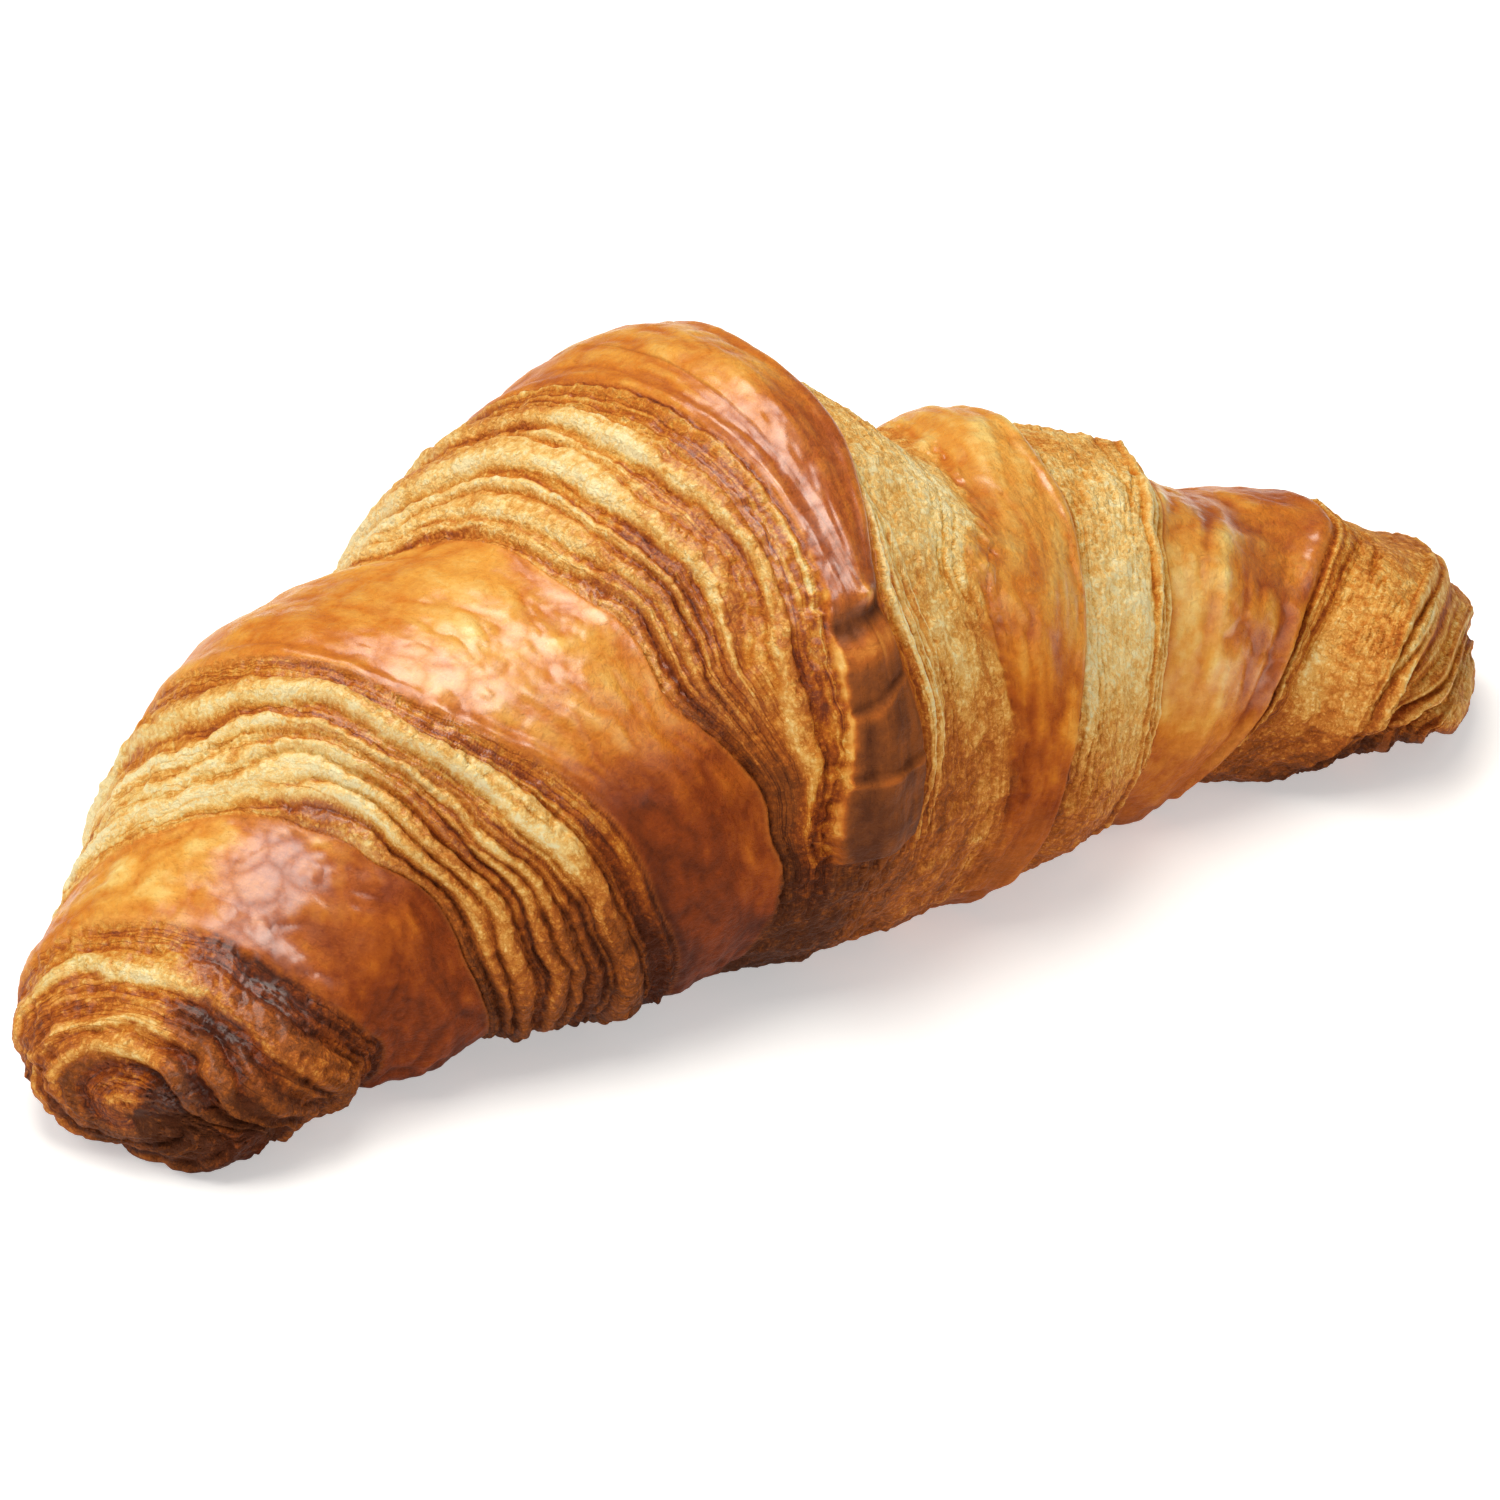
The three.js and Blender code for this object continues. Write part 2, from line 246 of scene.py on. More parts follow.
# %% Edges of the strip
TURNS = 6
STRIP_THICKNESS = 4.2
LEFT_EDGE = [
    (-0.12, -15), (-0.022, -14.8), (0.01, -15.7), (0.05, -14.2), (0.09, -13.9), (0.12, -12.5),
    (0.17, -12.4), (0.21, -13.5), (0.28, -15), (0.36, -17.8), (0.6, -21.5), (0.85, -25.5),
    (0.96, -29.6), (1.02, -32.8), (1.07, -36.2), (1.11, -40), (1.15, -45), (1.19, -48.8),
    (1.24, -52.8), (1.3, -56), (1.4, -57.5), (1.8, -58.5), (1.91, -59.3), (1.965, -62.6),
    (2.0, -65.6), (2.05, -68.3), (2.1, -70), (2.2, -71.2), (2.4, -72), (2.6, -73.5), (3.0, -78),
    (3.3, -81), (3.6, -84), (4, -88), (5, -93), (6, -96),
]
LEFT_FAN = [
    (-0.12, 4), (-0.02, 3.9), (0.02, 4.6), (0.055, 8), (0.08, 10.7), (0.11, 13.6), (0.15, 14.7),
    (0.18, 16), (0.25, 15.9), (0.3, 16.8), (0.34, 19), (0.6, 18), (0.95, 18.4), (1.05, 18.3),
    (1.095, 20.2), (1.14, 17.2), (1.18, 14.4), (1.22, 12), (1.26, 10), (1.35, 9.2), (1.6, 12),
    (1.9, 16), (2.0, 15), (2.25, 9.2), (2.6, 8.6), (3, 7.2), (4, 4), (6, 2),
]
RIGHT_EDGE = [
    (-0.12, -6), (-0.02, -5.9), (0.04, -6.3), (0.1, -7.8), (0.14, -4.8), (0.18, -2), (0.27, 0),
    (0.36, 3), (0.6, 7), (0.85, 10.3), (0.95, 12.2), (1.03, 14.6), (1.08, 17.8), (1.12, 21.8),
    (1.16, 25), (1.2, 26.4), (1.28, 29.5), (1.5, 34), (1.8, 37.5), (1.92, 39.6), (1.97, 42.8),
    (2.03, 46.5), (2.1, 51.3), (2.17, 56.4), (2.25, 61), (2.5, 60), (2.8, 54), (2.95, 55.2),
    (3.01, 58.2), (3.07, 62.2), (3.12, 65.6), (3.18, 70), (3.23, 73), (3.5, 72), (3.8, 64),
    (3.95, 62), (4.03, 64.5), (4.08, 68), (4.15, 74), (4.25, 79), (4.5, 81), (5, 85), (6, 89),
]
RIGHT_DROP = [
    (-0.12, 3), (-0.036, 3.3), (0.005, 4.6), (0.04, 5.4), (0.1, 6.8), (0.13, 5), (0.16, 2.7),
    (0.25, 2), (0.8, 2.5), (0.97, 1.6), (1.3, 1.5), (1.7, 2), (1.95, 3), (2.3, 2.6), (3, 2.2),
    (6, 2),
]
RIGHT_SHELF = [
    (-0.12, 11), (-0.03, 12), (0.05, 13), (0.1, 14), (0.15, 14.3), (0.19, 14), (0.25, 17),
    (0.32, 18), (0.6, 16), (0.9, 14.6), (1.01, 14.5), (1.08, 13.6), (1.11, 11.8), (1.14, 10.5),
    (1.2, 12), (1.3, 13.3), (1.6, 13), (1.95, 12.3), (2.04, 10.5), (2.15, 9.4), (2.3, 9),
    (2.6, 6), (3, 2.5), (3.2, 4), (6, 2),
]
FIRST_SHARE = [(0, 0.95), (0.8, 0.9), (0.95, 0.55), (1.3, 0.5), (3, 0.5)]
CROWN = 1.4
STRAY, RIGHT_STRAY = 0.55, 0.4
MIDDLE_OF_TONGUE = -10.0
LEFT_PITCH, RIGHT_PITCH, TOP_ROUNDING = 29.0, 26.0, 0.25


class Turn:
    """The edges of the nth turn at every lap."""

    def __init__(self, n):
        self.n = n
        self.count = n + LAP
        stray = STRAY * layered_noise(self.count * 9, 0.5, 0.5, seed=3)
        self.left = curve_through(LEFT_EDGE, self.count) + stray
        self.fan = curve_through(LEFT_FAN, self.count)
        self.foot = self.left - self.fan
        self.right = curve_through(RIGHT_EDGE, self.count) + RIGHT_STRAY * stray
        self.drop = curve_through(RIGHT_DROP, self.count)
        self.shelf = curve_through(RIGHT_SHELF, self.count)
        self.shelf_end = self.right + self.shelf
        self.first_share = curve_through(FIRST_SHARE, self.count)


ALL_TURNS = [Turn(n) for n in range(TURNS)]


def flow_coordinate():
    """Turns of the strip between a place and the tongue, even between the seams."""
    flow = np.empty(GRID)
    reach = REACH[:, 0]
    virtual = Turn(-1)
    for j in range(AROUND):
        run_out = ramp(LAP[0, j], 0.5, 0.5 + TIP_TURN)
        values = [-0.25 - run_out, -0.2 - 0.8 * run_out, -0.1 - 0.3 * run_out]
        lefts = [-MIDDLE_OF_TONGUE, -virtual.left[0, j], -virtual.foot[0, j]]
        rights = [MIDDLE_OF_TONGUE, virtual.right[0, j], virtual.shelf_end[0, j]]
        if LAP[0, j] < 0.5:
            values, lefts, rights = values[:1], lefts[:1], rights[:1]
        for turn in ALL_TURNS:
            lefts += [-turn.left[0, j], -turn.foot[0, j]]
            rights += [turn.right[0, j], turn.shelf_end[0, j]]
            values += [turn.n, turn.n + 0.6]
        left_side = np.interp(-reach, np.maximum.accumulate(lefts), values)
        right_side = np.interp(reach, np.maximum.accumulate(rights), values)
        flow[:, j] = np.where(reach < MIDDLE_OF_TONGUE, left_side, right_side)
    return flow


FLOW = flow_coordinate()
LEFT_SIDE = REACH < MIDDLE_OF_TONGUE
SIDE = np.where(LEFT_SIDE, 0.0, 9.3)
ROUND = clamp01(CAP_SCALE / 0.8)


def flow_noise(cells, stretch, seed, octaves=2):
    """Noise drawn out along the strip, as fibres are: so many cells to a turn across it."""
    x = FLOW * cells
    y = COS * ROUND * stretch + REACH / 15
    z = SIN * ROUND * stretch + SIDE
    return layered_noise(x, y, z, seed, octaves, cells)


def plain_noise(size, seed, octaves=3):
    """Noise that is alike in all directions on the skin."""
    girth = GIRTH_RADIUS * CAP_SCALE
    return layered_noise(PLACE / size, COS * girth / size, SIN * girth / size, seed, octaves)


print("turns between the tongue and the ends:", FLOW.max().round(2))

# %% [markdown]
# ## A stack of leaves
#
# Where the strip was cut, its butter layers part in the oven and step down like a fan
# of pages. Each leaf is a small pillow: it rises steeply on its outer side, leans out a
# little over the next one, and sinks into a sharp crease under the leaf above. A few
# leaves are wide and puffed and most are thin. Noise along the strip lets each of them
# swell and shrink, so that neighbours open like lenses and run together again.

# %% Leaves
LEAF_PUFF, MOST_PUFF = 0.46, 1.6
LEAF_LEAN, LIP = 0.20, 0.75
CREASE_DEPTH, CREASE_WIDTH = 0.40, 0.34
SLOW_UNEVEN, FAST_UNEVEN, EVEN_CLIMB = 1.25, 0.7, 0.5
SWERVE = flow_noise(5, 2.2, 131)
WOBBLE = 0.9 * flow_noise(9, 3.0, 133) + 0.45 * plain_noise(1.8, 135, 2)


def leaf_stack(across, width, turn, widths, seed, wobble=0.5):
    """Fields of a stack that climbs from 0 to 1 while `across` does; `width` is in mm."""
    count = turn.count
    leaves = len(widths)
    number = np.arange(leaves)[:, None]

    def vary(spread, pace, salt):
        return noise(number * spread, count * pace, seed=seed + salt)

    uneven = np.exp(SLOW_UNEVEN * vary(7.3, 3.1, 0) + FAST_UNEVEN * vary(5.7, 8, 1))
    weights = np.array(widths)[:, None] * uneven
    bounds = np.concatenate([np.zeros((1, AROUND)), np.cumsum(weights, axis=0)])
    bounds /= bounds[-1]
    shares = EVEN_CLIMB / leaves + (1 - EVEN_CLIMB) * np.diff(bounds, axis=0)
    climbs = np.cumsum(shares, axis=0) - shares

    mask = (across > 0) & (across < 1)
    free = smooth_step(4 * across) * smooth_step(4 - 4 * across)
    place = clamp01(across + wobble * (WOBBLE + SWERVE) / width * free)
    index = np.empty(GRID, int)
    for j in range(AROUND):
        index[:, j] = np.searchsorted(bounds[:, j], place[:, j], side="right") - 1
    index = np.clip(index, 0, leaves - 1)

    def look_up(table):
        return table[index, np.arange(AROUND)]

    start, end = look_up(bounds), look_up(bounds[1:])
    size = (end - start) * width
    outer, inner = (place - start) * width, (end - place) * width
    t = clamp01(outer / np.maximum(size, 1e-6))
    skewed = t**0.75
    pillow = (4 * skewed * (1 - skewed)) ** 0.7
    puff = np.minimum(LEAF_PUFF * size, MOST_PUFF) * look_up(0.8 + 0.5 * vary(5.3, 4, 4))
    thin = ramp(size, 0, 0.7)
    depth = thin * look_up(0.65 + 0.6 * vary(2.9, 11, 5))
    lip = np.minimum(LIP, 0.7 * size + 0.05)
    climb = look_up(climbs) + look_up(shares) * (0.8 * ramp(outer, 0, lip) + 0.2 * t)
    return {
        "climb": np.where(across >= 1, 1.0, climb * (across > 0)),
        "relief": mask * (puff * pillow - CREASE_DEPTH * depth * hill(inner - 0.25, CREASE_WIDTH)),
        "lean": mask * LEAF_LEAN * np.minimum(1, size / 1.4) * hill(outer - 0.5, 0.5),
        # The crease mask darkens the colour in the crease under each leaf: painted shade.
        "crease_shade": mask * clamp01(depth) * hill(inner, 0.5),
        # The rim mask lightens the outer edge of each leaf: a painted highlight.
        "rim": mask * hill(outer - 0.3, 0.35) * thin,
        "tone": mask * look_up(vary(3.7, 2.2, 6)),
        "wide": mask * ramp(size, 0.9, 1.4),
        "index": np.where(mask, index, -1),
        "mask": mask * 1.0,
    }


print("edges of leaves wander by up to", np.abs(0.5 * (SWERVE + WOBBLE)).max().round(2), "mm")

# %% [markdown]
# ## Stacking the turns
#
# Now the turns are laid on each other. At each point we count how many turns lie below
# the top one and lower the surface by one strip thickness for each. On the left of the
# tongue every turn ends in a wide fan of leaves; on the right it drops over a few thin
# ones to a pale, porous shelf, and some turns drop once more at the end of the shelf.
# The bare bands between swell like little cushions.

# %% Cut edges
FAN_WIDTHS = [2.4, 0.6, 1.5, 0.7, 0.5, 2.0, 0.6, 0.9, 3.2, 1.1, 0.6, 0.5, 0.6]
DROP_WIDTHS = [0.9, 0.6, 1.2, 0.5, 0.8, 0.5]
END_WIDTHS = [1.2, 0.9, 1.2]
END_DROP, DROP_WOBBLE, END_WOBBLE = 3.5, 0.15, 0.2
FULL_END_SHARE = 0.3
FRINGE_WIDTH, HOLLOW_DEPTH, FULL_FAN = 3.4, 0.6, 12.0
RIGHT_LEAN = 0.6


def add_cut_edges(fields, turn, open_to_view):
    """Lays a turn's fan, its drop and its shelf into the fields, and returns its climb."""
    fan = leaf_stack((REACH - turn.foot) / turn.fan, turn.fan, turn, FAN_WIDTHS, 100)
    from_right = turn.right - REACH
    drop = leaf_stack(1 + from_right / turn.drop, turn.drop, turn, DROP_WIDTHS, 200, DROP_WOBBLE)
    before_end = turn.shelf_end + END_DROP - REACH
    end = leaf_stack(before_end / END_DROP, END_DROP, turn, END_WIDTHS, 300, END_WOBBLE)
    end_share = 1 - turn.first_share
    end_strength = ramp(end_share, 0, FULL_END_SHARE)
    fan_thin = np.minimum(1, turn.fan / FULL_FAN)

    relief = fan["relief"] * fan_thin + drop["relief"] + end["relief"] * end_strength
    lean = RIGHT_LEAN * (drop["lean"] + end["lean"]) - fan["lean"] * fan_thin
    leafy = fan["mask"] * (1 - fan["wide"]) + drop["mask"] + 0.5 * end["mask"]
    fringe = fan["mask"] * ramp(REACH, turn.left - FRINGE_WIDTH, 1.2)
    hollow_leaf = (fan["index"] == 0) * ramp(np.sin(turn.count * 7 + 1), -0.6, 1)
    additions = {
        "relief": relief - HOLLOW_DEPTH * hollow_leaf,
        "lean": lean,
        "leafy": leafy,
        "fringe": fringe,
        "groove": hollow_leaf,
        "crease_shade": fan["crease_shade"] + drop["crease_shade"] + end["crease_shade"] * end_strength,
        "rim": fan["rim"] + drop["rim"] + end["rim"] * end_strength,
        "tone": fan["tone"] + drop["tone"],
        "wide": fan["wide"] + drop["wide"],
    }
    for name, value in additions.items():
        fields[name] += open_to_view * value
    shelf = ramp(-from_right, 0, 0.2) * ramp(before_end, 0, 0.6)
    fields["cut"] = np.maximum(fields["cut"], open_to_view * np.maximum(fan["mask"], shelf))
    on_right = turn.first_share * (1 - drop["climb"]) + end_share * (1 - end["climb"])
    return fan["climb"] * (1 - on_right), fan["mask"]

# %% [markdown]
# The bare band of a turn lies between its own two edges and the feet of the turn above
# it. Nothing covers it, so it swells, takes the egg glaze and ends in a rounded lip with
# a groove beside it, darkened partly as caramelised edge and partly as painted shade.
# From turn 3 on the bands are too far out and too narrow to have been glazed.

# %% Bare bands
BAND_EDGE, NARROW_SHARE = 7.0, 0.7
LIP_HEIGHT, LIP_WIDTH, GROOVE_DEPTH, GROOVE_WIDTH = 0.30, 0.8, 0.55, 0.4
LAST_GLAZED_TURN = 2
RAGGED = 1.2 * plain_noise(2.2, 401, 2) + 1.0 * flow_noise(8, 3, 402)


def add_bare_band(fields, turn, above, nearness, open_to_view):
    """Adds the band of a turn; `nearness` is 0 where the turn above doesn't reach it."""
    from_left, from_right = REACH - turn.left, turn.right - REACH
    to_foot = above.foot - REACH
    end_above = END_DROP * ramp(1 - above.first_share, 0, FULL_END_SHARE)
    to_shelf = REACH - above.shelf_end - end_above
    edge_round = np.minimum(BAND_EDGE, NARROW_SHARE * (turn.right - turn.left))
    edges = ramp(from_left, 0, edge_round), ramp(from_right, 0, edge_round)
    swell = edges[0] * edges[1] if turn.n == 0 else np.where(LEFT_SIDE, *edges)
    uncovered = ramp(np.where(LEFT_SIDE, to_foot, to_shelf), 0, BAND_EDGE)
    fields["relief"] += CROWN * swell * (1 - nearness * (1 - uncovered)) * open_to_view

    soft = 0.5 + 2.0 * ramp(above.first_share, 0.6, 0.3)
    clear_left = ramp(to_foot, 0, 0.8)
    clear_right = ramp(to_shelf, -RAGGED * soft / 2.5, soft)
    under = nearness * (1 - np.where(LEFT_SIDE, clear_left, clear_right))
    within = ramp(from_left, 0, 0.4) * ramp(from_right, 0, 0.3)
    if turn.n == 0:
        fields["cut"] = np.maximum(fields["cut"], within * under * open_to_view)
    if turn.n <= LAST_GLAZED_TURN:
        fields["glaze"] = np.maximum(fields["glaze"], within * (1 - under) * open_to_view)

    lip = hill(from_left - 0.9, LIP_WIDTH) + hill(from_right - 0.9, LIP_WIDTH)
    groove = 0.35 * hill(from_left + 0.25, GROOVE_WIDTH) + hill(from_right + 0.35, GROOVE_WIDTH)
    strength = ramp(turn.count, TIP_TURN, 0.02) * open_to_view
    fields["lip"] += lip * strength
    # The edge mask darkens the groove: partly caramelised edge, partly painted shade.
    fields["edge"] += groove * strength
    fields["relief"] += (LIP_HEIGHT * lip - GROOVE_DEPTH * groove) * strength

# %% [markdown]
# The edges of the strip run slantwise over the grid, so a sharp step would come out as
# a row of small teeth. A short mean taken along the strip, and not across it, smooths
# the teeth away and keeps the step crisp.

# %% Smoothing along the strip
LEAST_CHANGE, STEEPEST = 1e-5, 3


def strip_slope():
    """Rings crossed by the strip from one column of the grid to the next."""
    across = np.gradient(FLOW, axis=0)
    onwards = np.roll(FLOW, -1, axis=1) - np.roll(FLOW, 1, axis=1)
    onwards = ((onwards + 0.5) % 1 - 0.5) / 2
    across = np.where(np.abs(across) < LEAST_CHANGE, LEAST_CHANGE, across)
    return np.clip(-onwards / across, -STEEPEST, STEEPEST)


SLOPE = strip_slope()


def blur_along_strip(field, reach=3):
    """Mean over a few grid points along the strip, so that slanted edges have no teeth."""
    total, weight = np.zeros(GRID), 0
    ring, column = np.indices(GRID)
    for step in range(-reach, reach + 1):
        at = np.clip(ring + SLOPE * step, 0, GRID[0] - 1.001)
        low = at.astype(int)
        share = at - low
        there = (column + step) % AROUND
        part = reach + 1 - abs(step)
        total += part * (field[low, there] * (1 - share) + field[low + 1, there] * share)
        weight += part
    return total / weight


print("mean slope of the strip:", np.abs(SLOPE).mean().round(2), "rings to a column")

# %% [markdown]
# The loop starts with turn -1 and then lays every turn under the one before it. The
# tongue is special: it was pressed flat, so its tip is thin and nearly square.

# %% All the turns
TAIL, LONG_TAIL = 0.06, 0.30
TIP_WALL, TIP_SQUARE, TIP_THINNING, TIP_THIN_LENGTH = 0.3, 0.05, 0.72, 0.06
FIELD_NAMES = [
    "relief", "lean", "crease_shade", "cut", "lip", "edge", "glaze", "rim", "tone", "wide",
    "fringe", "groove", "leafy",
]


def tongue_shape(turn, climb):
    """The climb of the tongue near its tip, and a mask of its lower part."""
    after_tip = turn.count - TIP_TURN
    wall = ramp(REACH, turn.left, TIP_WALL) * ramp(turn.right - REACH, 0, TIP_WALL)
    climb = wall + (climb - wall) * ramp(after_tip, 0, TIP_SQUARE)
    return climb * (1 - TIP_THINNING * np.exp(-after_tip / TIP_THIN_LENGTH)), wall * ramp(LAP, 0.3, -0.1)


def step_heights(below):
    """Height of the steps over the mean girth; they shrink towards the ends."""
    far = np.abs(REACH)
    pitch = np.where(LEFT_SIDE, LEFT_PITCH, RIGHT_PITCH)
    mean_turns = np.hypot((REACH - MIDDLE_OF_TONGUE) / pitch, TOP_ROUNDING)
    ring_turns = (below + LAP).mean(axis=1, keepdims=True)
    mean_turns += (ring_turns - mean_turns) * ramp(far, 58, 12)
    fade = (1 - 0.45 * ramp(far, 68, 14)) * ramp(CAP_SCALE, 0, 0.5)
    return fade * STRIP_THICKNESS * (mean_turns - below - LAP)


def stack_turns():
    fields = {name: np.zeros(GRID) for name in FIELD_NAMES}
    below, covered = np.full(GRID, float(TURNS)), np.zeros(GRID)
    above = Turn(-1)
    add_cut_edges(fields, above, ramp(above.count, TIP_TURN - TAIL, TAIL))
    nearness = ramp(above.count, TIP_TURN - LONG_TAIL, LONG_TAIL / 2)
    for turn in ALL_TURNS:
        climb, fan_mask = add_cut_edges(fields, turn, 1 - covered)
        if turn.n == 0:
            climb, fields["tongue"] = tongue_shape(turn, climb)
        below -= climb
        add_bare_band(fields, turn, above, nearness, 1 - covered)
        end_strength = ramp(1 - turn.first_share, 0, FULL_END_SHARE)
        on_turn = (REACH > turn.left - 0.1) & (REACH < turn.shelf_end + END_DROP * end_strength)
        covered = np.maximum.reduce([covered, fan_mask * (REACH < turn.left), on_turn * 1.0])
        above, nearness = turn, 1.0
    fields["step"] = step_heights(below)
    calm = 1 - 0.75 * ramp(REACH, 66, 8)
    calm = calm * (1 - 0.95 * ramp(REACH, 46, 8) * ramp(SIN, 0.05, -0.3))
    fields["relief"] *= calm
    fields["lean"] *= calm**2
    return {name: blur_along_strip(field) for name, field in fields.items()}


FIELDS = stack_turns()
print("steps in mm, from", FIELDS["step"].min().round(2), "to", FIELDS["step"].max().round(2))

# %% [markdown]
# ## Marks that happened once
#
# Some marks are not a pattern. The tongue folded over itself half way down, wrinkled
# below the fold and has a small blister beside it; the rims of the fold, the wrinkles and
# the blister are lightened with painted light, and the fold is darkened with painted shade.
# Beside its tip the left edge came away and left a pocket, darkened with painted shade.
# The left end has a hollow by its curled core, also darkened with painted shade, and a
# smooth lobe of dough was squeezed out low on the right. A mask or two for each is the
# simplest way, since nothing here repeats.

# %% Single marks
FOLD_LAP, WRINKLE_LAPS = 0.098, (0.066, 0.041)
TONGUE_GIRTH = 170.0
LOBE_LAP, LOBE_REACH = 0.91, 60.0


def spot(lap, reach, length, width):
    """A soft round spot at a place on the skin."""
    return hill((LAP - lap) * 2 * math.pi * GIRTH_RADIUS, length) * hill(REACH - reach, width)


def tongue_marks():
    """Relief of the fold, the wrinkles and the blister of the tongue, their rims lit with painted light, and
    the fold's painted shade.
    """
    tongue = FIELDS["tongue"]
    wavy = 0.010 * plain_noise(6, 421, 2)
    fold = (LAP + 0.6 * wavy - FOLD_LAP) * TONGUE_GIRTH
    relief = tongue * (0.5 * hill(fold + 2.2, 1.6) - 0.65 * hill(fold, 0.8) + 0.3 * hill(fold - 2.0, 1.4))
    # The pale rims of the fold and the wrinkles are painted light where they face up.
    pale = 0.8 * tongue * hill(fold + 1.6, 1.1)
    for place in WRINKLE_LAPS:
        wrinkle = (LAP + wavy - place) * TONGUE_GIRTH
        relief = relief + tongue * (0.2 * hill(wrinkle + 0.8, 0.35) - 0.3 * hill(wrinkle, 0.4))
        pale = pale + tongue * hill(wrinkle + 0.8, 0.3)
    blister = spot(0.105, -9.6, 0.8, 0.8)
    return relief + 1.1 * blister, clamp01(pale + 1.2 * blister), tongue * hill(fold, 0.9)


def tongue_side():
    """The pocket beside the tongue's left edge, the edge's rim and its torn side."""
    from_left = REACH - ALL_TURNS[0].left
    pocket_width = 4.5 * ramp(LAP, TIP_TURN, 0.07)
    pocket = ramp(LAP, 0.030, -0.02) * ramp(from_left, 0, -0.4) * ramp(from_left + pocket_width, 0, 0.9)
    rim = ramp(LAP, 0.11, -0.03) * hill(from_left - 0.3, 0.3) * (LAP > TIP_TURN)
    side = ramp(LAP, 0.16, -0.04) * hill(from_left + 0.5, 1.1) * (LAP > TIP_TURN)
    return pocket, rim, side


def left_end_marks():
    """Relief of the curled left end and the mask of the painted shade by its core, placed across each ring.
    """
    backward = -curve_through(HALF_WIDTH, PLACE) * CAP_SCALE * COS
    upward = curve_through(HEIGHT, PLACE) / 2 * CAP_SCALE * SIN
    shaded_hollow = hill(backward - 6.0, 3.0) * hill(upward - 1.5, 2.4)
    core = hill(backward + 1.6, 2.6) * hill(upward - 1.2, 2.2)
    from_curl = np.hypot(backward - 5.5, upward - 1) - 5.2
    curl = hill(from_curl, 1.3) * ramp(backward, -0.9, 3)
    lumps = 0.9 * plain_noise(5.5, 425, 2)
    at_end = ramp(-REACH, 74, 6)
    return at_end * (0.5 * core + 0.3 * curl + lumps - 0.8 * shaded_hollow), at_end * shaded_hollow


FOLD_RELIEF, PAINTED_LIGHT_MARKS, FOLD_SHADE = tongue_marks()
POCKET, TONGUE_RIM, TONGUE_SIDE = tongue_side()
END_RELIEF, END_HOLLOW_SHADE = left_end_marks()
lobe = spot(LOBE_LAP, LOBE_REACH, 5.0, 6.0)
side_relief = 0.15 * TONGUE_RIM - 0.45 * POCKET + 0.5 * TONGUE_SIDE * plain_noise(0.9, 423, 2)
MARKS = side_relief + FOLD_RELIEF + END_RELIEF + 1.5 * lobe
# The dark marks, in the left end's hollow and the tongue's fold, are painted shade.
PAINTED_SHADE_MARKS, LOBE = clamp01(0.7 * (END_HOLLOW_SHADE + FOLD_SHADE)), clamp01(1.3 * lobe)
print("marks in mm, from", MARKS.min().round(2), "to", MARKS.max().round(2))

# %% [markdown]
# ## Skin of the dough
#
# The last relief is small. On the glazed bands the skin dried into cushions parted by
# fine wrinkles that follow the strip, and right of the middle it puckered into short
# ribs. On cut dough there is a porous grain with dents and thin splits. The foot of the
# roll is crumbly where it met the tray.

# %% Skin relief
ring_share = 0.5 + 0.5 * SIN
crumbly_foot = ramp(ring_share, 0.30, -0.15) * (1 - LOBE) * (0.5 - 0.44 * ramp(REACH, 42, 10))
cushion_size, cushion_girth = 3.6, GIRTH_RADIUS / 5.0
cushion_noise = layered_noise(PLACE / cushion_size, COS * cushion_girth, SIN * cushion_girth, 71, 2)
cushions = np.abs(cushion_noise) - 0.3
wrinkles = np.abs(flow_noise(11, 3.5, 73, 3)) - 0.3
some_places = smooth_step(0.45 + 1.3 * flow_noise(6, 2.5, 76, 2))
split = hill(flow_noise(22, 2.6, 74, 2), 0.11) * some_places
threads = flow_noise(44, 4.0, 77, 1)
blisters = plain_noise(2.4, 75, 3)
pores = plain_noise(0.8, 79, 2)
dents = plain_noise(4.5, 81, 2)
slow_swell = plain_noise(17, 83, 2)
crumbs = plain_noise(2.6, 85, 2)
dry = clamp01(FIELDS["cut"] + ramp(np.abs(REACH), 72, 4))
low_tongue = FIELDS["tongue"] * ramp(LAP, 0.12, -0.02)
cushion_strength = smooth_step(0.6 + 1.2 * plain_noise(9, 87, 2))
ribs = hill(REACH - 44, 8) * flow_noise(30, 2.0, 89, 2)
drawn_out = (1 + 0.6 * hill(REACH - 45, 8)) * (1 - 0.9 * low_tongue)

glazed_relief = 0.30 * cushion_strength * cushions + 0.24 * drawn_out * wrinkles + 0.36 * ribs
glazed_relief += 0.08 * (1 + low_tongue) * blisters + 0.03 * threads
dry_relief = 0.20 * (1 - 0.5 * ramp(REACH, 60, 8)) * (pores + blisters)
dry_relief = dry_relief + 0.05 * threads + 0.28 * dents * (1 - 0.5 * FIELDS["wide"]) - 0.24 * split
FIELDS["skin"] = FIELDS["glaze"] * glazed_relief + dry * dry_relief
FIELDS["skin"] += crumbly_foot * crumbs + 0.5 * slow_swell + MARKS
print("skin in mm, from", FIELDS["skin"].min().round(2), "to", FIELDS["skin"].max().round(2))

# %% [markdown]
# ## Points of the surface
#
# Each ring is a slightly boxy oval. The skin is pushed out along its own normal, which
# turns from sideways to lengthways over the round ends. The underside is pressed flat
# on the tray, and the ends are turned to the front.

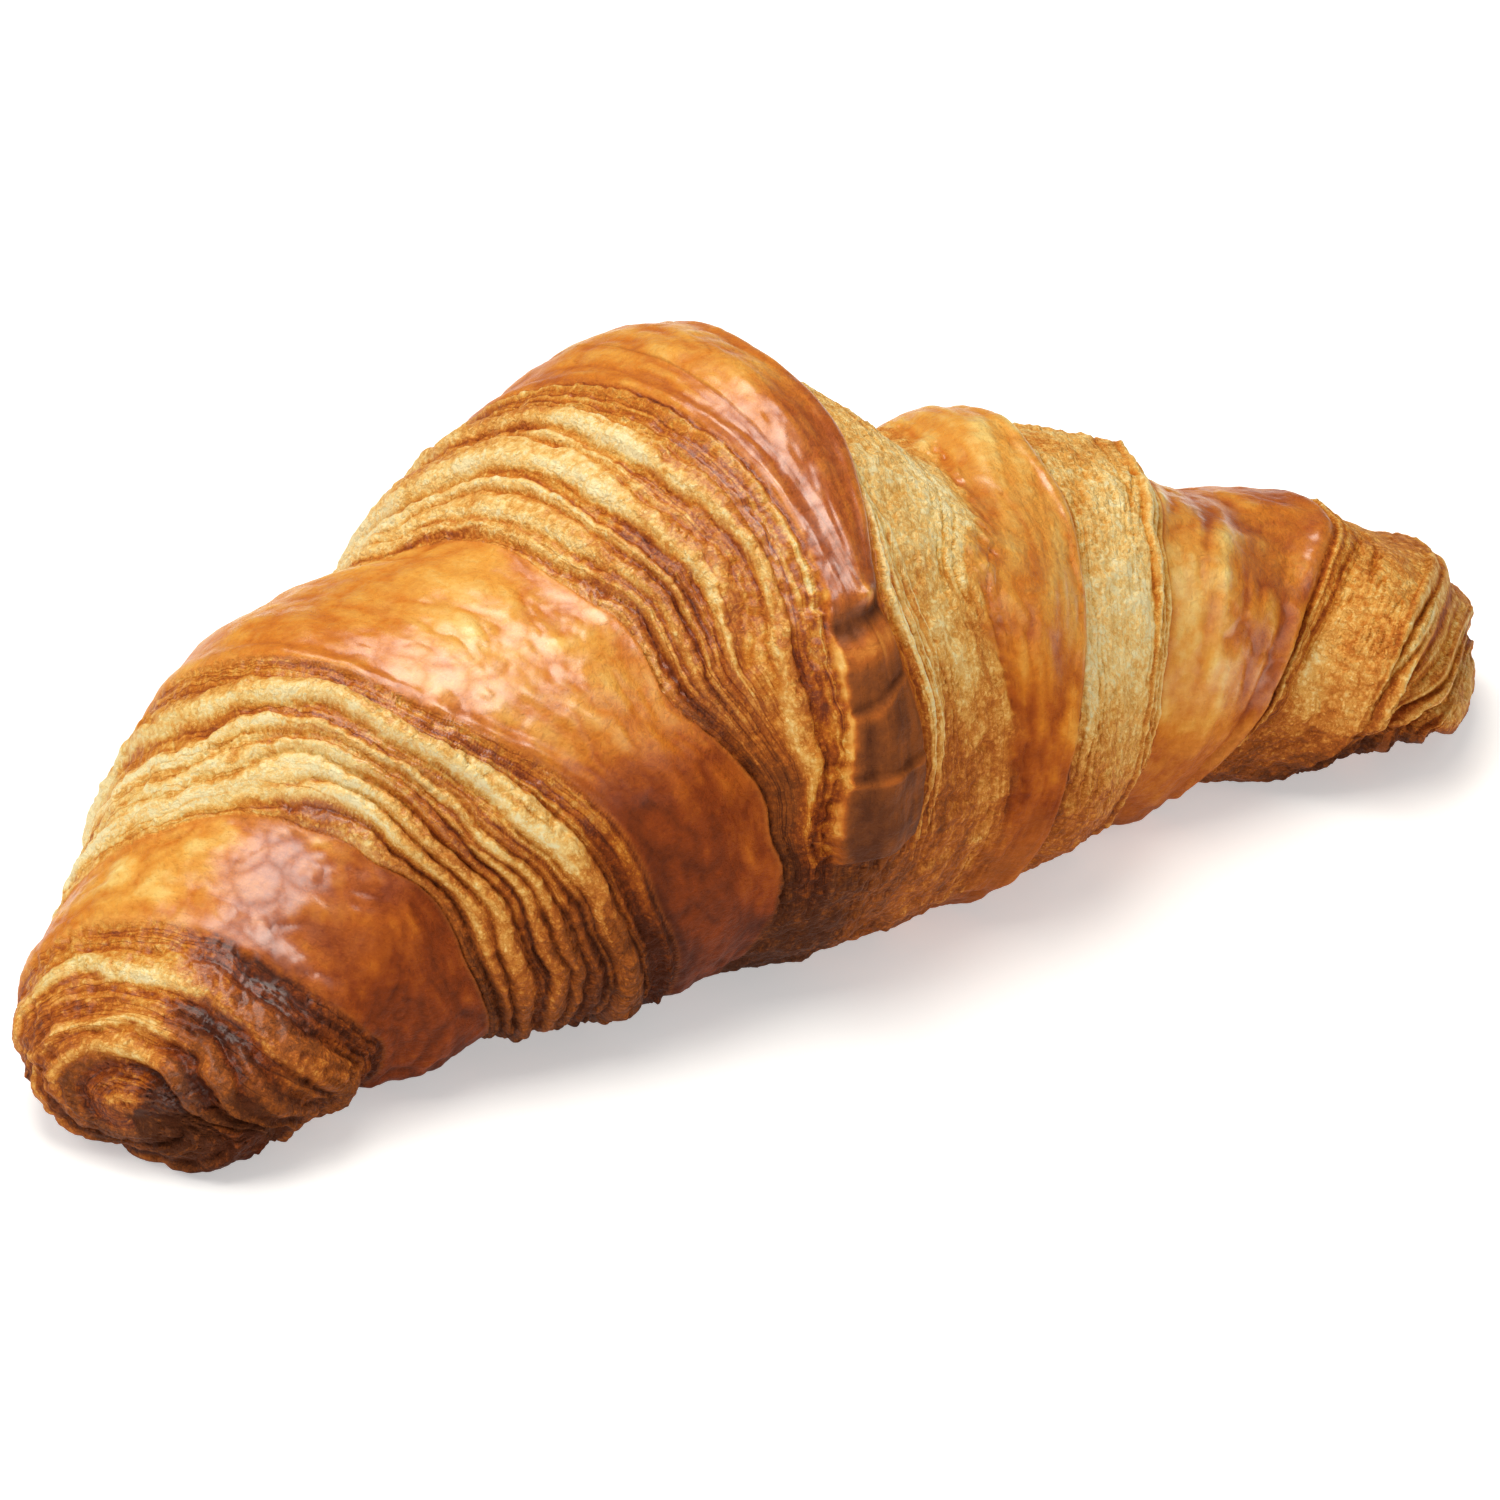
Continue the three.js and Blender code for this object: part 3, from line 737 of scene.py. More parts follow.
# %% Surface points
def surface_points():
    """The points of the grid in millimetres, before the roll is set in the middle of its box."""
    grow, fine = FIELDS["step"], FIELDS["relief"] + FIELDS["skin"]
    off_tip = ramp(CAP_SCALE, 0, 0.35)
    fine = fine * off_tip + fine.mean(axis=1, keepdims=True) * (1 - off_tip)
    over_cap = clamp01((np.abs(PLACE) - HALF_LENGTH + CAP_LENGTH) / CAP_LENGTH)
    lengthways = over_cap ** (CAP_FULLNESS - 1) / CAP_LENGTH
    sideways = CAP_SCALE ** (CAP_FULLNESS - 1) / GIRTH_RADIUS
    total = np.hypot(lengthways, sideways)
    lengthways, sideways = np.sign(PLACE) * lengthways / total, sideways / total

    oval = (np.abs(COS) ** RING_SQUARENESS + np.abs(SIN) ** RING_SQUARENESS) ** (-1 / RING_SQUARENESS)
    height = curve_through(HEIGHT, PLACE)
    middle = curve_through(RING_MIDDLE, PLACE) * height
    half_width = curve_through(HALF_WIDTH, PLACE) * CAP_SCALE + grow * sideways
    reach_up = (height - middle) * CAP_SCALE + grow * sideways
    reach_down = UNDERSIDE_PRESS * middle * CAP_SCALE + grow * sideways
    aside = -(half_width * oval + fine * sideways) * COS
    free = middle + (np.where(SIN > 0, reach_up, reach_down) * oval + fine * sideways) * SIN
    soft = 0.5 * (free + np.hypot(free, EDGE_SOFTNESS)) - 0.25 * EDGE_SOFTNESS
    bend = -np.sign(PLACE) * END_TURN * ramp(np.abs(PLACE), END_TURN_FROM, HALF_LENGTH - END_TURN_FROM)
    ahead = (grow + fine) * lengthways + FIELDS["lean"] * ramp(CAP_SCALE, 0, 0.6)
    x = PLACE + ahead * np.cos(bend) - aside * np.sin(bend)
    y = curve_through(SWAY, PLACE) + ahead * np.sin(bend) + aside * np.cos(bend)
    return np.stack([x, y, np.maximum(0, soft)], -1)


POINTS = surface_points()
flat = POINTS.reshape(-1, 3)
box_middle = (flat.min(0) + flat.max(0)) / 2
FRAME_MIDDLE = (LOW + HIGH) / 2
POINTS = (POINTS - [box_middle[0], box_middle[1], 0]) * MM
POINTS += [FRAME_MIDDLE[0], FRAME_MIDDLE[1], LOW[2]]
print("surface box in mm:", np.round(np.ptp(POINTS.reshape(-1, 3), axis=0) * 1000, 1))

# %% [markdown]
# ## Hollows
#
# Hollows are darkened with painted shade and the ridges between them lightened with
# painted light. A place is in a hollow when it lies lower than the mean height around it,
# so two window sizes give us fine creases and broad valleys.

# %% Hollows
def local_mean(field, reach):
    """Mean over a square window of grid points, wrapping round the ring."""
    padded = np.pad(field, ((reach, reach), (0, 0)), mode="edge")
    padded = np.pad(padded, ((0, 0), (reach, reach)), mode="wrap")
    for axis in (0, 1):
        sums = np.cumsum(padded, axis)
        sums = np.concatenate([np.zeros_like(sums.take([0], axis)), sums], axis)
        count = sums.shape[axis]
        ahead = sums.take(range(2 * reach + 1, count), axis)
        behind = sums.take(range(0, count - 2 * reach - 1), axis)
        padded = (ahead - behind) / (2 * reach + 1)
    return padded


def grid_normals(points):
    along = np.gradient(points, axis=0)
    around = np.roll(points, -1, axis=1) - np.roll(points, 1, axis=1)
    normals = np.cross(around, along)
    return -normals / np.maximum(np.linalg.norm(normals, axis=2, keepdims=True), 1e-15)


NORMALS = grid_normals(POINTS)
surface_height = FIELDS["step"] + FIELDS["relief"] + FIELDS["skin"]
shaded_hollow = clamp01((local_mean(surface_height, 5) - surface_height) / 0.45)
wide_shaded_hollow = clamp01((local_mean(surface_height, 14) - surface_height) / 1.4)
lit_ridge = clamp01((surface_height - local_mean(surface_height, 6)) / 0.5)
print("share of the skin that lies in hollows:", (shaded_hollow > 0.2).mean().round(3))

# %% [markdown]
# ## Where the crust lies
#
# Before we can bake the roll we need to know how high each place is, which way it faces
# and what it is: glazed band, cut dough or plain skin. `front` and `high_up` are places on
# the roll, where the brush and the oven's heat reach, but some masks built on them carry
# painted light and shade: the low front is darkened partly with painted shade, the left
# side with painted shade, and the tops of the bands are lightened with painted light.

# %% Masks of place
height_share = (POINTS[..., 2] - LOW[2]) / SPAN[2]
near_tray = ramp(height_share, 0.16, -0.16)
# Skin that faces down comes out darker in the bake below: partly browned on the tray, partly painted shade.
facing_down = ramp(-NORMALS[..., 2], 0, 0.6)
front = ramp(COS, 0, 0.5)
to_right = ramp(PLACE, 5, 35)
low_share = height_share + (ring_share - height_share) * to_right
# Low on the front the bake comes out darker: partly browning near the hot tray, partly painted shade where
# the overhead light falls off.
low_front = ramp(low_share + 0.14 * to_right, 0.80, -0.64)
low_browning_and_shade = front * low_front + (1 - front) * 0.5 * ramp(height_share, 0.3, -0.3)
left_end, right_end = ramp(-REACH, 73, 5), ramp(REACH, 66, 6)
high_up = ramp(SIN, 0.15, 0.6) * front + 0.5 * (1 - front)
shiny_side = ramp(SIN, 0.3, 0.5) * front + 0.5 * (1 - front)
patches = plain_noise(11, 91, 3)
streaky = flow_noise(14, 2.5, 93, 3)
leaf_tone = flow_noise(7, 2.0, 95, 2)

# %% Masks of dough
GLAZE_FOOT = [(-14, -1.3), (5, -0.3), (20, -0.12), (45, 0.08), (80, 0.1)]
glaze_fades = front * ramp(curve_through(GLAZE_FOOT, PLACE) + 0.15 * patches - SIN, 0, 0.3)
glaze = FIELDS["glaze"] * (1 - 0.9 * glaze_fades)
cut = clamp01(FIELDS["cut"] + left_end + right_end) * (1 - glaze)
plain = clamp01(1 - glaze - cut)
crease_shade = clamp01(FIELDS["crease_shade"])
amber_leaf = cut * ramp(FIELDS["tone"], 0.18, 0.2) * (0.4 + 0.6 * high_up)
on_shelf = clamp01(cut * ramp(REACH, 2, 8) * (1 - FIELDS["leafy"]))
# The left side low down and the lower front of the left half's middle are masks of painted shade.
left_painted_shade = ramp(-PLACE, -10, 60) * low_browning_and_shade
left_middle_shade = front * hill(REACH + 33, 11) * ramp(height_share, 0.66, -0.2)
tongue_dark = 0.5 * FIELDS["tongue"] * (ramp(LAP, 0.24, -0.06) + ramp(LAP, 0.14, -0.06))
# The fringe beside the tongue's lower part is lightened with a painted highlight.
by_tongue_highlight = FIELDS["fringe"] * hill(REACH - ALL_TURNS[0].left + 2, 2.5) * ramp(LAP, 0.18, -0.05)
print("glazed share:", glaze.mean().round(3), "cut share:", cut.mean().round(3))

# %% [markdown]
# ## Browning
#
# How brown a place is depends on where it sits. Cut layers stay pale because they were
# shut until late in the bake; the glazed bands are amber and turn chestnut towards their
# lips and near the hot tray. Some of the number is painted light and shade, not browning:
# creases, splits, hollows and the pocket are darkened with painted shade, the low front
# partly so, and leaf rims, ridges and the tops of the bands are lightened with painted
# light. We add all that up into one number, `bake`, from raw dough at 0 to nearly burnt
# at 1. The two tint curves say how much darker or paler each stretch of the roll came
# out, partly from the oven and partly as painted light and shade.

# %% Browning
# Right of the middle the paler values of cut dough are partly painted light, making up for less lamp light
# there.
CUT_TINT_AND_LIGHT = [
    (-80, 0.04), (-70, 0.01), (-62, -0.12), (-45, -0.12), (-30, 0.04), (-22, 0.09), (-12, 0.10),
    (0, -0.10), (12, -0.14), (28, -0.11), (42, -0.08), (52, 0.10), (60, 0.13), (80, 0.09),
]
# The paler stretch of the right-hand band near 34 mm is a painted highlight.
GLAZE_TINT_AND_LIGHT = [
    (-75, -0.05), (-60, -0.05), (-48, 0), (-30, 0), (-12, 0.03), (20, -0.05), (34, -0.12), (43, 0.02),
    (50, 0.13),
]
SOFTENED_FROM, SOFTENED = 0.7, 0.7

glaze_bake = (
    0.49 + curve_through(GLAZE_TINT_AND_LIGHT, REACH)
    + 0.02 * patches + 0.07 * streaky * (1 - low_tongue) + 0.06 * FIELDS["lip"]
    # Low on the front the glaze is darker, partly as browning and partly as painted shade; the darker lower
    # middle of the left half is painted shade.
    + 0.19 * low_browning_and_shade + 0.26 * tongue_dark + 0.19 * left_middle_shade + 0.12 * low_tongue * (0.4 + blisters)
    - 0.16 * cushions * cushion_strength - 0.16 * wrinkles - 0.14 * ribs
    # Tops of the bands lighter, and the right-hand band darker low down: painted light and shade from the
    # overhead lamp.
    - 0.09 * ramp(SIN, 0.2, 0.8) - 0.12 * high_up * hill(REACH + 38, 9) - 0.16 * hill(REACH - 40, 10) * SIN
    # Hollows in the glaze darken with painted shade.
    + 0.10 * shaded_hollow
)
low_cut = 0.42 - 0.14 * ramp(-REACH, 60, 10) - 0.14 * hill(REACH + 2, 10)
cut_bake = (
    0.33 + curve_through(CUT_TINT_AND_LIGHT, REACH) * (0.4 + 0.6 * front)
    + 0.12 * FIELDS["tone"] + 0.05 * patches + 0.12 * leaf_tone - 0.10 * FIELDS["wide"]
    # Leaf rims lighten with a painted highlight.
    + 0.05 * FIELDS["fringe"] + 0.08 * FIELDS["groove"] - 0.17 * FIELDS["rim"]
    # Cut dough low on the front is darker, partly as browning and partly as painted shade.
    + low_cut * low_browning_and_shade + 0.12 * front * ramp(-REACH, 8, 6) * ramp(height_share, 0.42, -0.2)
    # Creases darken with painted shade, the more so low down, and so do the splits on the next line.
    + (0.15 + 0.12 * (1 - high_up)) * crease_shade + 0.10 * high_up * front * hill(REACH + 20, 7)
    + 0.10 * split
)
anywhere_bake = (
    # Hollows are darkened with painted shade and ridges lightened with painted light; the groove by each lip
    # is darker, partly as caramelised edge and partly as painted shade.
    0.04 * shaded_hollow + 0.05 * wide_shaded_hollow - 0.08 * lit_ridge + 0.10 * clamp01(FIELDS["edge"])
    # The fringe beside the tongue is lightened with a painted highlight.
    + 0.12 * amber_leaf - 0.26 * by_tongue_highlight * (1 - crease_shade) - 0.12 * on_shelf * front * (1 - 0.6 * low_browning_and_shade)
    # The left side low down is darkened with painted shade; the left end is darker towards the bottom.
    + 0.13 * left_painted_shade + (0.05 + 0.10 * ramp(height_share, 0.45, -0.3)) * left_end
    + 0.10 * near_tray * (1 - 0.8 * to_right + 0.9 * left_end) * (1 - 0.7 * hill(REACH, 18))
    # Skin that faces down is darker, partly as browning on the tray and partly as painted shade; the dark
    # marks are painted shade and the pale marks painted light.
    + 0.10 * facing_down + 0.24 * PAINTED_SHADE_MARKS - 0.22 * PAINTED_LIGHT_MARKS + 0.25 * LOBE
    # The pocket beside the tongue is darkened with painted shade.
    + 0.10 * POCKET - 0.16 * TONGUE_RIM - 0.08 * TONGUE_SIDE * (1 - 3 * pores)
)
# Plain skin low on the front is darker, partly as browning and partly as painted shade.
plain_bake = 0.46 + 0.06 * patches + 0.10 * low_browning_and_shade
BAKE = glaze * glaze_bake + cut * cut_bake + plain * plain_bake + anywhere_bake
BAKE = clamp01(np.minimum(BAKE, SOFTENED_FROM) + SOFTENED * np.maximum(BAKE - SOFTENED_FROM, 0))
print("mean browning:", BAKE.mean().round(3))

# %% [markdown]
# Three more numbers go with it. `hue` picks the row of tones: 0 for glazed skin, 1 for
# cut dough; a crease in cut dough takes the amber of glaze, painted in for light that
# glows through its thin leaves. `leafy` is 1 where the finest leaves show as lines.
# `gloss` says how thick the egg glaze lies; it is thickest high on the bands, where the
# brush went.

# %% Hue, leaves and gloss
# Creases, splits and hollows are painted shade; in cut dough they also take the amber row of glaze, painted
# in for light that glows through the thin leaves.
in_shaded_crease = clamp01(crease_shade + 0.6 * split + shaded_hollow)
HUE = (1 - glaze) * (1 - 1.1 * in_shaded_crease * (0.3 + 0.7 * high_up)) * (1 - 0.7 * amber_leaf) * (1 - POCKET)
HUE = np.maximum(clamp01(HUE) * (1 - 0.6 * FIELDS["fringe"]), low_tongue)
LEAFY = clamp01(cut * FIELDS["leafy"] * ramp(REACH, 60, -8))
BAND_GLOSS = np.maximum(shiny_side, 0.7 * hill(REACH - 42, 9) * ramp(SIN, -0.1, 0.3))
BAND_GLOSS *= (1 - 0.18 * hill(REACH + 36, 9)) * (1 - 0.9 * FIELDS["tongue"] * ramp(LAP, 0.115, -0.02))
CUT_GLOSS = 0.15 * FIELDS["fringe"] + 0.2 * FIELDS["groove"] + 0.25 * cut + 0.3 * amber_leaf
CUT_GLOSS *= shiny_side * (1 - 0.5 * left_end) * (1 - ramp(REACH, 0, 6))
GLOSS = clamp01(glaze * BAND_GLOSS + CUT_GLOSS)
print("mean gloss:", GLOSS.mean().round(3), "mean hue:", HUE.mean().round(3))

# %% [markdown]
# ## From grid to pieces
#
# One mesh of this grid would be heavy, so the roll is cut across into short closed
# slices. Neighbours share the same ring of points and the same normals, so that no cut
# shows. Each slice carries the masks as attributes and an even map that is wrapped
# round it.

# %% Pieces
SLICES = ["left_end", "left_shoulder", "left_belly", "right_belly", "right_shoulder", "right_end"]
FIBRES, FIBRE_STRETCH = 10.0, 2.2
ATTRIBUTES = {
    "bake": BAKE,
    "gloss": GLOSS,
    "cut": cut,
    "hue": HUE,
    "leafy": LEAFY,
    "fourth": FIBRE_STRETCH * SIN * ROUND + SIDE,
}
MAP_MARGIN = 0.015
FIBRE_VECTOR = np.stack(
    [
        FIBRES * np.cos(2 * math.pi * FLOW),
        FIBRES * np.sin(2 * math.pi * FLOW),
        FIBRE_STRETCH * COS * ROUND + REACH / 20,
    ],
    -1,
)


def slice_mesh(name, first, last):
    """A closed slice of the roll from ring `first` to ring `last`."""
    rings = last - first + 1
    count = rings * AROUND
    centres = [POINTS[ring].mean(0) for ring in (first, last)]
    vertices = np.concatenate([POINTS[first : last + 1].reshape(-1, 3), centres])
    i, j = np.meshgrid(np.arange(rings - 1), np.arange(AROUND), indexing="ij")
    here = i * AROUND + j
    up = i * AROUND + (j + 1) % AROUND
    quads = np.stack([here, here + AROUND, up + AROUND, up], -1).reshape(-1, 4)
    ring = np.arange(AROUND)
    ahead = (ring + 1) % AROUND
    low_cap = np.stack([np.full(AROUND, count), ring, ahead], -1)
    top = (rings - 1) * AROUND
    high_cap = np.stack([np.full(AROUND, count + 1), top + ahead, top + ring], -1)
    mesh = bpy.data.meshes.new(name)
    mesh.from_pydata(vertices.tolist(), [], quads.tolist() + low_cap.tolist() + high_cap.tolist())
    mesh.shade_smooth()

    # The map: once round the ring across, from ring to ring upwards.
    u = np.concatenate([
        np.stack([j, j, j + 1, j + 1], -1).ravel(),
        np.stack([ring + 0.5, ring, ring + 1], -1).ravel(),
        np.stack([ring + 0.5, ring + 1, ring], -1).ravel(),
    ]) / AROUND
    level = MAP_MARGIN + (1 - 2 * MAP_MARGIN) * np.arange(rings) / (rings - 1)
    v = np.concatenate([
        np.stack([level[i], level[i + 1], level[i + 1], level[i]], -1).ravel(),
        np.tile([0, MAP_MARGIN, MAP_MARGIN], AROUND),
        np.tile([1, 1 - MAP_MARGIN, 1 - MAP_MARGIN], AROUND),
    ])
    layer = mesh.uv_layers.new(name="OFBake")
    layer.uv.foreach_set("vector", np.stack([u, v], -1).astype(np.float32).ravel())

    def on_points(field):
        flat = field[first : last + 1].reshape(count, -1)
        return np.concatenate([flat, np.repeat(flat[:1], 2, axis=0)]).astype(np.float32)

    for key, field in ATTRIBUTES.items():
        mesh.attributes.new(key, "FLOAT", "POINT").data.foreach_set("value", on_points(field).ravel())
    fibre = mesh.attributes.new("fibre", "FLOAT_VECTOR", "POINT")
    fibre.data.foreach_set("vector", on_points(FIBRE_VECTOR).ravel())
    normals = on_points(NORMALS)
    normals[-2:] = [(-1, 0, 0), (1, 0, 0)]
    mesh.normals_split_custom_set_from_vertices(normals)
    return mesh


PIECES = []
cuts = np.linspace(0, len(PLACE) - 1, len(SLICES) + 1).round().astype(int)
for name, first, last in zip(SLICES, cuts[:-1], cuts[1:]):
    piece = bpy.data.objects.new(name, slice_mesh(name, first, last))
    bpy.context.scene.collection.objects.link(piece)
    PIECES.append(piece)
    print(name, len(piece.data.polygons), "faces")

# %% [markdown]
# ## Node groups for the crust
#
# A material is a drawing of nodes, and long sums of nodes are hard to read. So we
# first give such a value the signs +, - and *, and each sign adds one Math node. What
# the crust is made of then goes into two groups with named sockets, which could serve
# any other pastry.

# %% Node helpers
def shader_group(name, inputs, outputs):
    tree = bpy.data.node_groups.new(name, "ShaderNodeTree")
    for title, kind in inputs:
        tree.interface.new_socket(title, in_out="INPUT", socket_type=kind)
    for title, kind in outputs:
        tree.interface.new_socket(title, in_out="OUTPUT", socket_type=kind)
    return tree, tree.nodes.new("NodeGroupInput"), tree.nodes.new("NodeGroupOutput")


class SkinValue:
    """A number that changes over the skin; sums and products of these become Math nodes."""

    def __init__(self, socket):
        self.socket = socket
        self.tree = socket.id_data

    def math(self, operation, other, swap=False):
        node = self.tree.nodes.new("ShaderNodeMath")
        node.operation = operation
        mine, others = (1, 0) if swap else (0, 1)
        self.tree.links.new(self.socket, node.inputs[mine])
        if isinstance(other, SkinValue):
            self.tree.links.new(other.socket, node.inputs[others])
        else:
            node.inputs[others].default_value = other
        return SkinValue(node.outputs[0])

    def __add__(self, other):
        return self.math("ADD", other)

    def __sub__(self, other):
        return self.math("SUBTRACT", other)

    def __rsub__(self, other):
        return self.math("SUBTRACT", other, swap=True)

    def __mul__(self, other):
        return self.math("MULTIPLY", other)

    def __abs__(self):
        return self.math("ABSOLUTE", 0.0)

    def clamped(self):
        """The same value, kept from 0 to 1 by the Math node that it comes from."""
        self.socket.node.use_clamp = True
        return self

    def to(self, socket):
        self.tree.links.new(self.socket, socket)


def add_noise(tree, vector, scale, detail=3.0, roughness=0.55, fourth=None):
    node = tree.nodes.new("ShaderNodeTexNoise")
    node.inputs["Scale"].default_value = scale
    node.inputs["Detail"].default_value = detail
    node.inputs["Roughness"].default_value = roughness
    tree.links.new(vector, node.inputs["Vector"])
    if fourth is not None:
        node.noise_dimensions = "4D"
        tree.links.new(fourth, node.inputs["W"])
    return SkinValue(node.outputs["Fac"])


def fine_lines(noise_value, sharpness):
    """Thin lines where a noise crosses its middle value."""
    return (1.0 - abs(noise_value - 0.5) * sharpness).clamped()


def add_cushions(tree, place, scale):
    """How far a place is from the wavy edges of little cushions: 0 on the edge, 1 well inside."""
    wave = add_noise(tree, place, scale * 0.8, roughness=0.5).socket.node
    shift = tree.nodes.new("ShaderNodeVectorMath")
    shift.operation = "MULTIPLY_ADD"
    tree.links.new(wave.outputs["Color"], shift.inputs[0])
    shift.inputs[1].default_value = (0.9 / scale,) * 3
    tree.links.new(place, shift.inputs[2])
    cells = tree.nodes.new("ShaderNodeTexVoronoi")
    cells.feature = "DISTANCE_TO_EDGE"
    cells.inputs["Scale"].default_value = scale
    tree.links.new(shift.outputs["Vector"], cells.inputs["Vector"])
    return (SkinValue(cells.outputs["Distance"]) * 4.0).clamped()


def linear(red, green, blue):
    """A colour as it is seen on a screen, from 0 to 255, as the light values that nodes use."""
    values = [((c / 255 + 0.055) / 1.055) ** 2.4 if c > 10 else c / 3294 for c in (red, green, blue)]
    return (*values, 1.0)


print("a mid amber in light values:", np.round(linear(208, 122, 36), 3))

# %% [markdown]
# The first group turns the bake number into colour, along the row of tones that dough
# goes through in an oven. Glazed skin and cut dough each have their own row, because egg
# browns redder than flour and butter do.

# %% Oven browning
BAKE_STOPS = [0.00, 0.15, 0.30, 0.45, 0.60, 0.75, 0.90, 1.00]
GLAZED_TONES = [
    (250, 226, 160), (240, 200, 114), (228, 160, 66), (208, 122, 36),
    (176, 88, 28), (138, 61, 23), (98, 44, 21), (78, 35, 19),
]
CUT_TONES = [
    (255, 238, 186), (255, 219, 144), (240, 180, 92), (214, 134, 56),
    (180, 97, 38), (144, 78, 34), (112, 61, 31), (88, 47, 26),
]


def make_browning_group():
    tree, start, end = shader_group(
        "oven_browning",
        [("Bake", "NodeSocketFloat"), ("Cut", "NodeSocketFloat")],
        [("Color", "NodeSocketColor")],
    )
    mix = tree.nodes.new("ShaderNodeMix")
    mix.data_type = "RGBA"
    tree.links.new(start.outputs["Cut"], mix.inputs["Factor"])
    for tones, socket in ((GLAZED_TONES, mix.inputs[6]), (CUT_TONES, mix.inputs[7])):
        ramp_node = tree.nodes.new("ShaderNodeValToRGB")
        elements = ramp_node.color_ramp.elements
        while len(elements) < len(tones):
            elements.new(0.5)
        for element, position, tone in zip(elements, BAKE_STOPS, tones):
            element.position = position
            element.color = linear(*tone)
        tree.links.new(start.outputs["Bake"], ramp_node.inputs["Fac"])
        tree.links.new(ramp_node.outputs["Color"], socket)
    tree.links.new(mix.outputs[2], end.inputs["Color"])
    return tree


BROWNING = make_browning_group()
print(BROWNING.name, "mixes two rows of", len(BAKE_STOPS), "tones")

# %% [markdown]
# The second group holds everything finer than the mesh. Its noises come in two kinds.
# Threads and bands are drawn out along the strip, and the splits are thin lines along
# the bands. They are noise in four directions: two of them go round a circle once for
# each turn of the strip, so that they run with the strip and meet where the turns do.
# Pores, mottle, crinkle, glint specks and cushions are alike in all directions; the glint specks are painted
# highlights.

# %% Pastry grain
GRAIN_NAMES = ["Threads", "Bands", "Splits", "Crinkle", "Pores", "Glint_specks", "Cushions", "Mottle"]


def make_grain_group():
    tree, start, end = shader_group(
        "pastry_grain",
        [("Fibre", "NodeSocketVector"), ("Fourth", "NodeSocketFloat"), ("Place", "NodeSocketVector")],
        [(name, "NodeSocketFloat") for name in GRAIN_NAMES],
    )
    fibre, fourth, place = (start.outputs[key] for key in ("Fibre", "Fourth", "Place"))
    bands = add_noise(tree, fibre, 0.45, 2, 0.5, fourth)
    pores = add_noise(tree, place, 1300.0, 4, 0.7)
    grain = {
        "Threads": add_noise(tree, fibre, 1.7, 3, 0.6, fourth),
        "Bands": bands,
        "Splits": fine_lines(bands, 22.0),
        "Crinkle": fine_lines(add_noise(tree, place, 480.0, 3, 0.6), 11.0),
        "Pores": pores,
        # Bright specks on the pores: painted glints.
        "Glint_specks": ((pores - 0.55) * 8.0).clamped(),
        "Cushions": add_cushions(tree, place, 290.0),
        "Mottle": add_noise(tree, place, 230.0, 5, 0.62),
    }
    for name in GRAIN_NAMES:
        grain[name].to(end.inputs[name])
    return tree


PASTRY_GRAIN = make_grain_group()
print(PASTRY_GRAIN.name, "gives", *GRAIN_NAMES)

# %% [markdown]
# ## Crust
#
# The crust is one material, because glaze fades into bare dough without a line. Its
# egg glaze is a thin clear coat over the browned skin, strongest on the bands; the cut
# leaves are dry and rough. Most grains change the bake number a little, which gives
# colours that an oven could make; the splits darken it with painted shade and the glint
# specks lighten it with painted highlights. The same grains raise the skin for the bump.

# %% Crust material
# How much each grain browns the skin and raises it, on glaze and on cut dough.
GRAIN_BROWNS = {"Threads": (0.08, 0.20), "Bands": (0.07, 0.20), "Pores": (0.25, 1.0), "Mottle": (0.16, 0.40)}
GRAIN_RISES = {"Pores": (1.5, 3.2), "Threads": (0.35, 0.6), "Mottle": (1.2, 1.2)}
ROUGHNESS, GLAZE_SMOOTHS, MIDDLE_CUSHION = 0.52, 0.20, 0.6


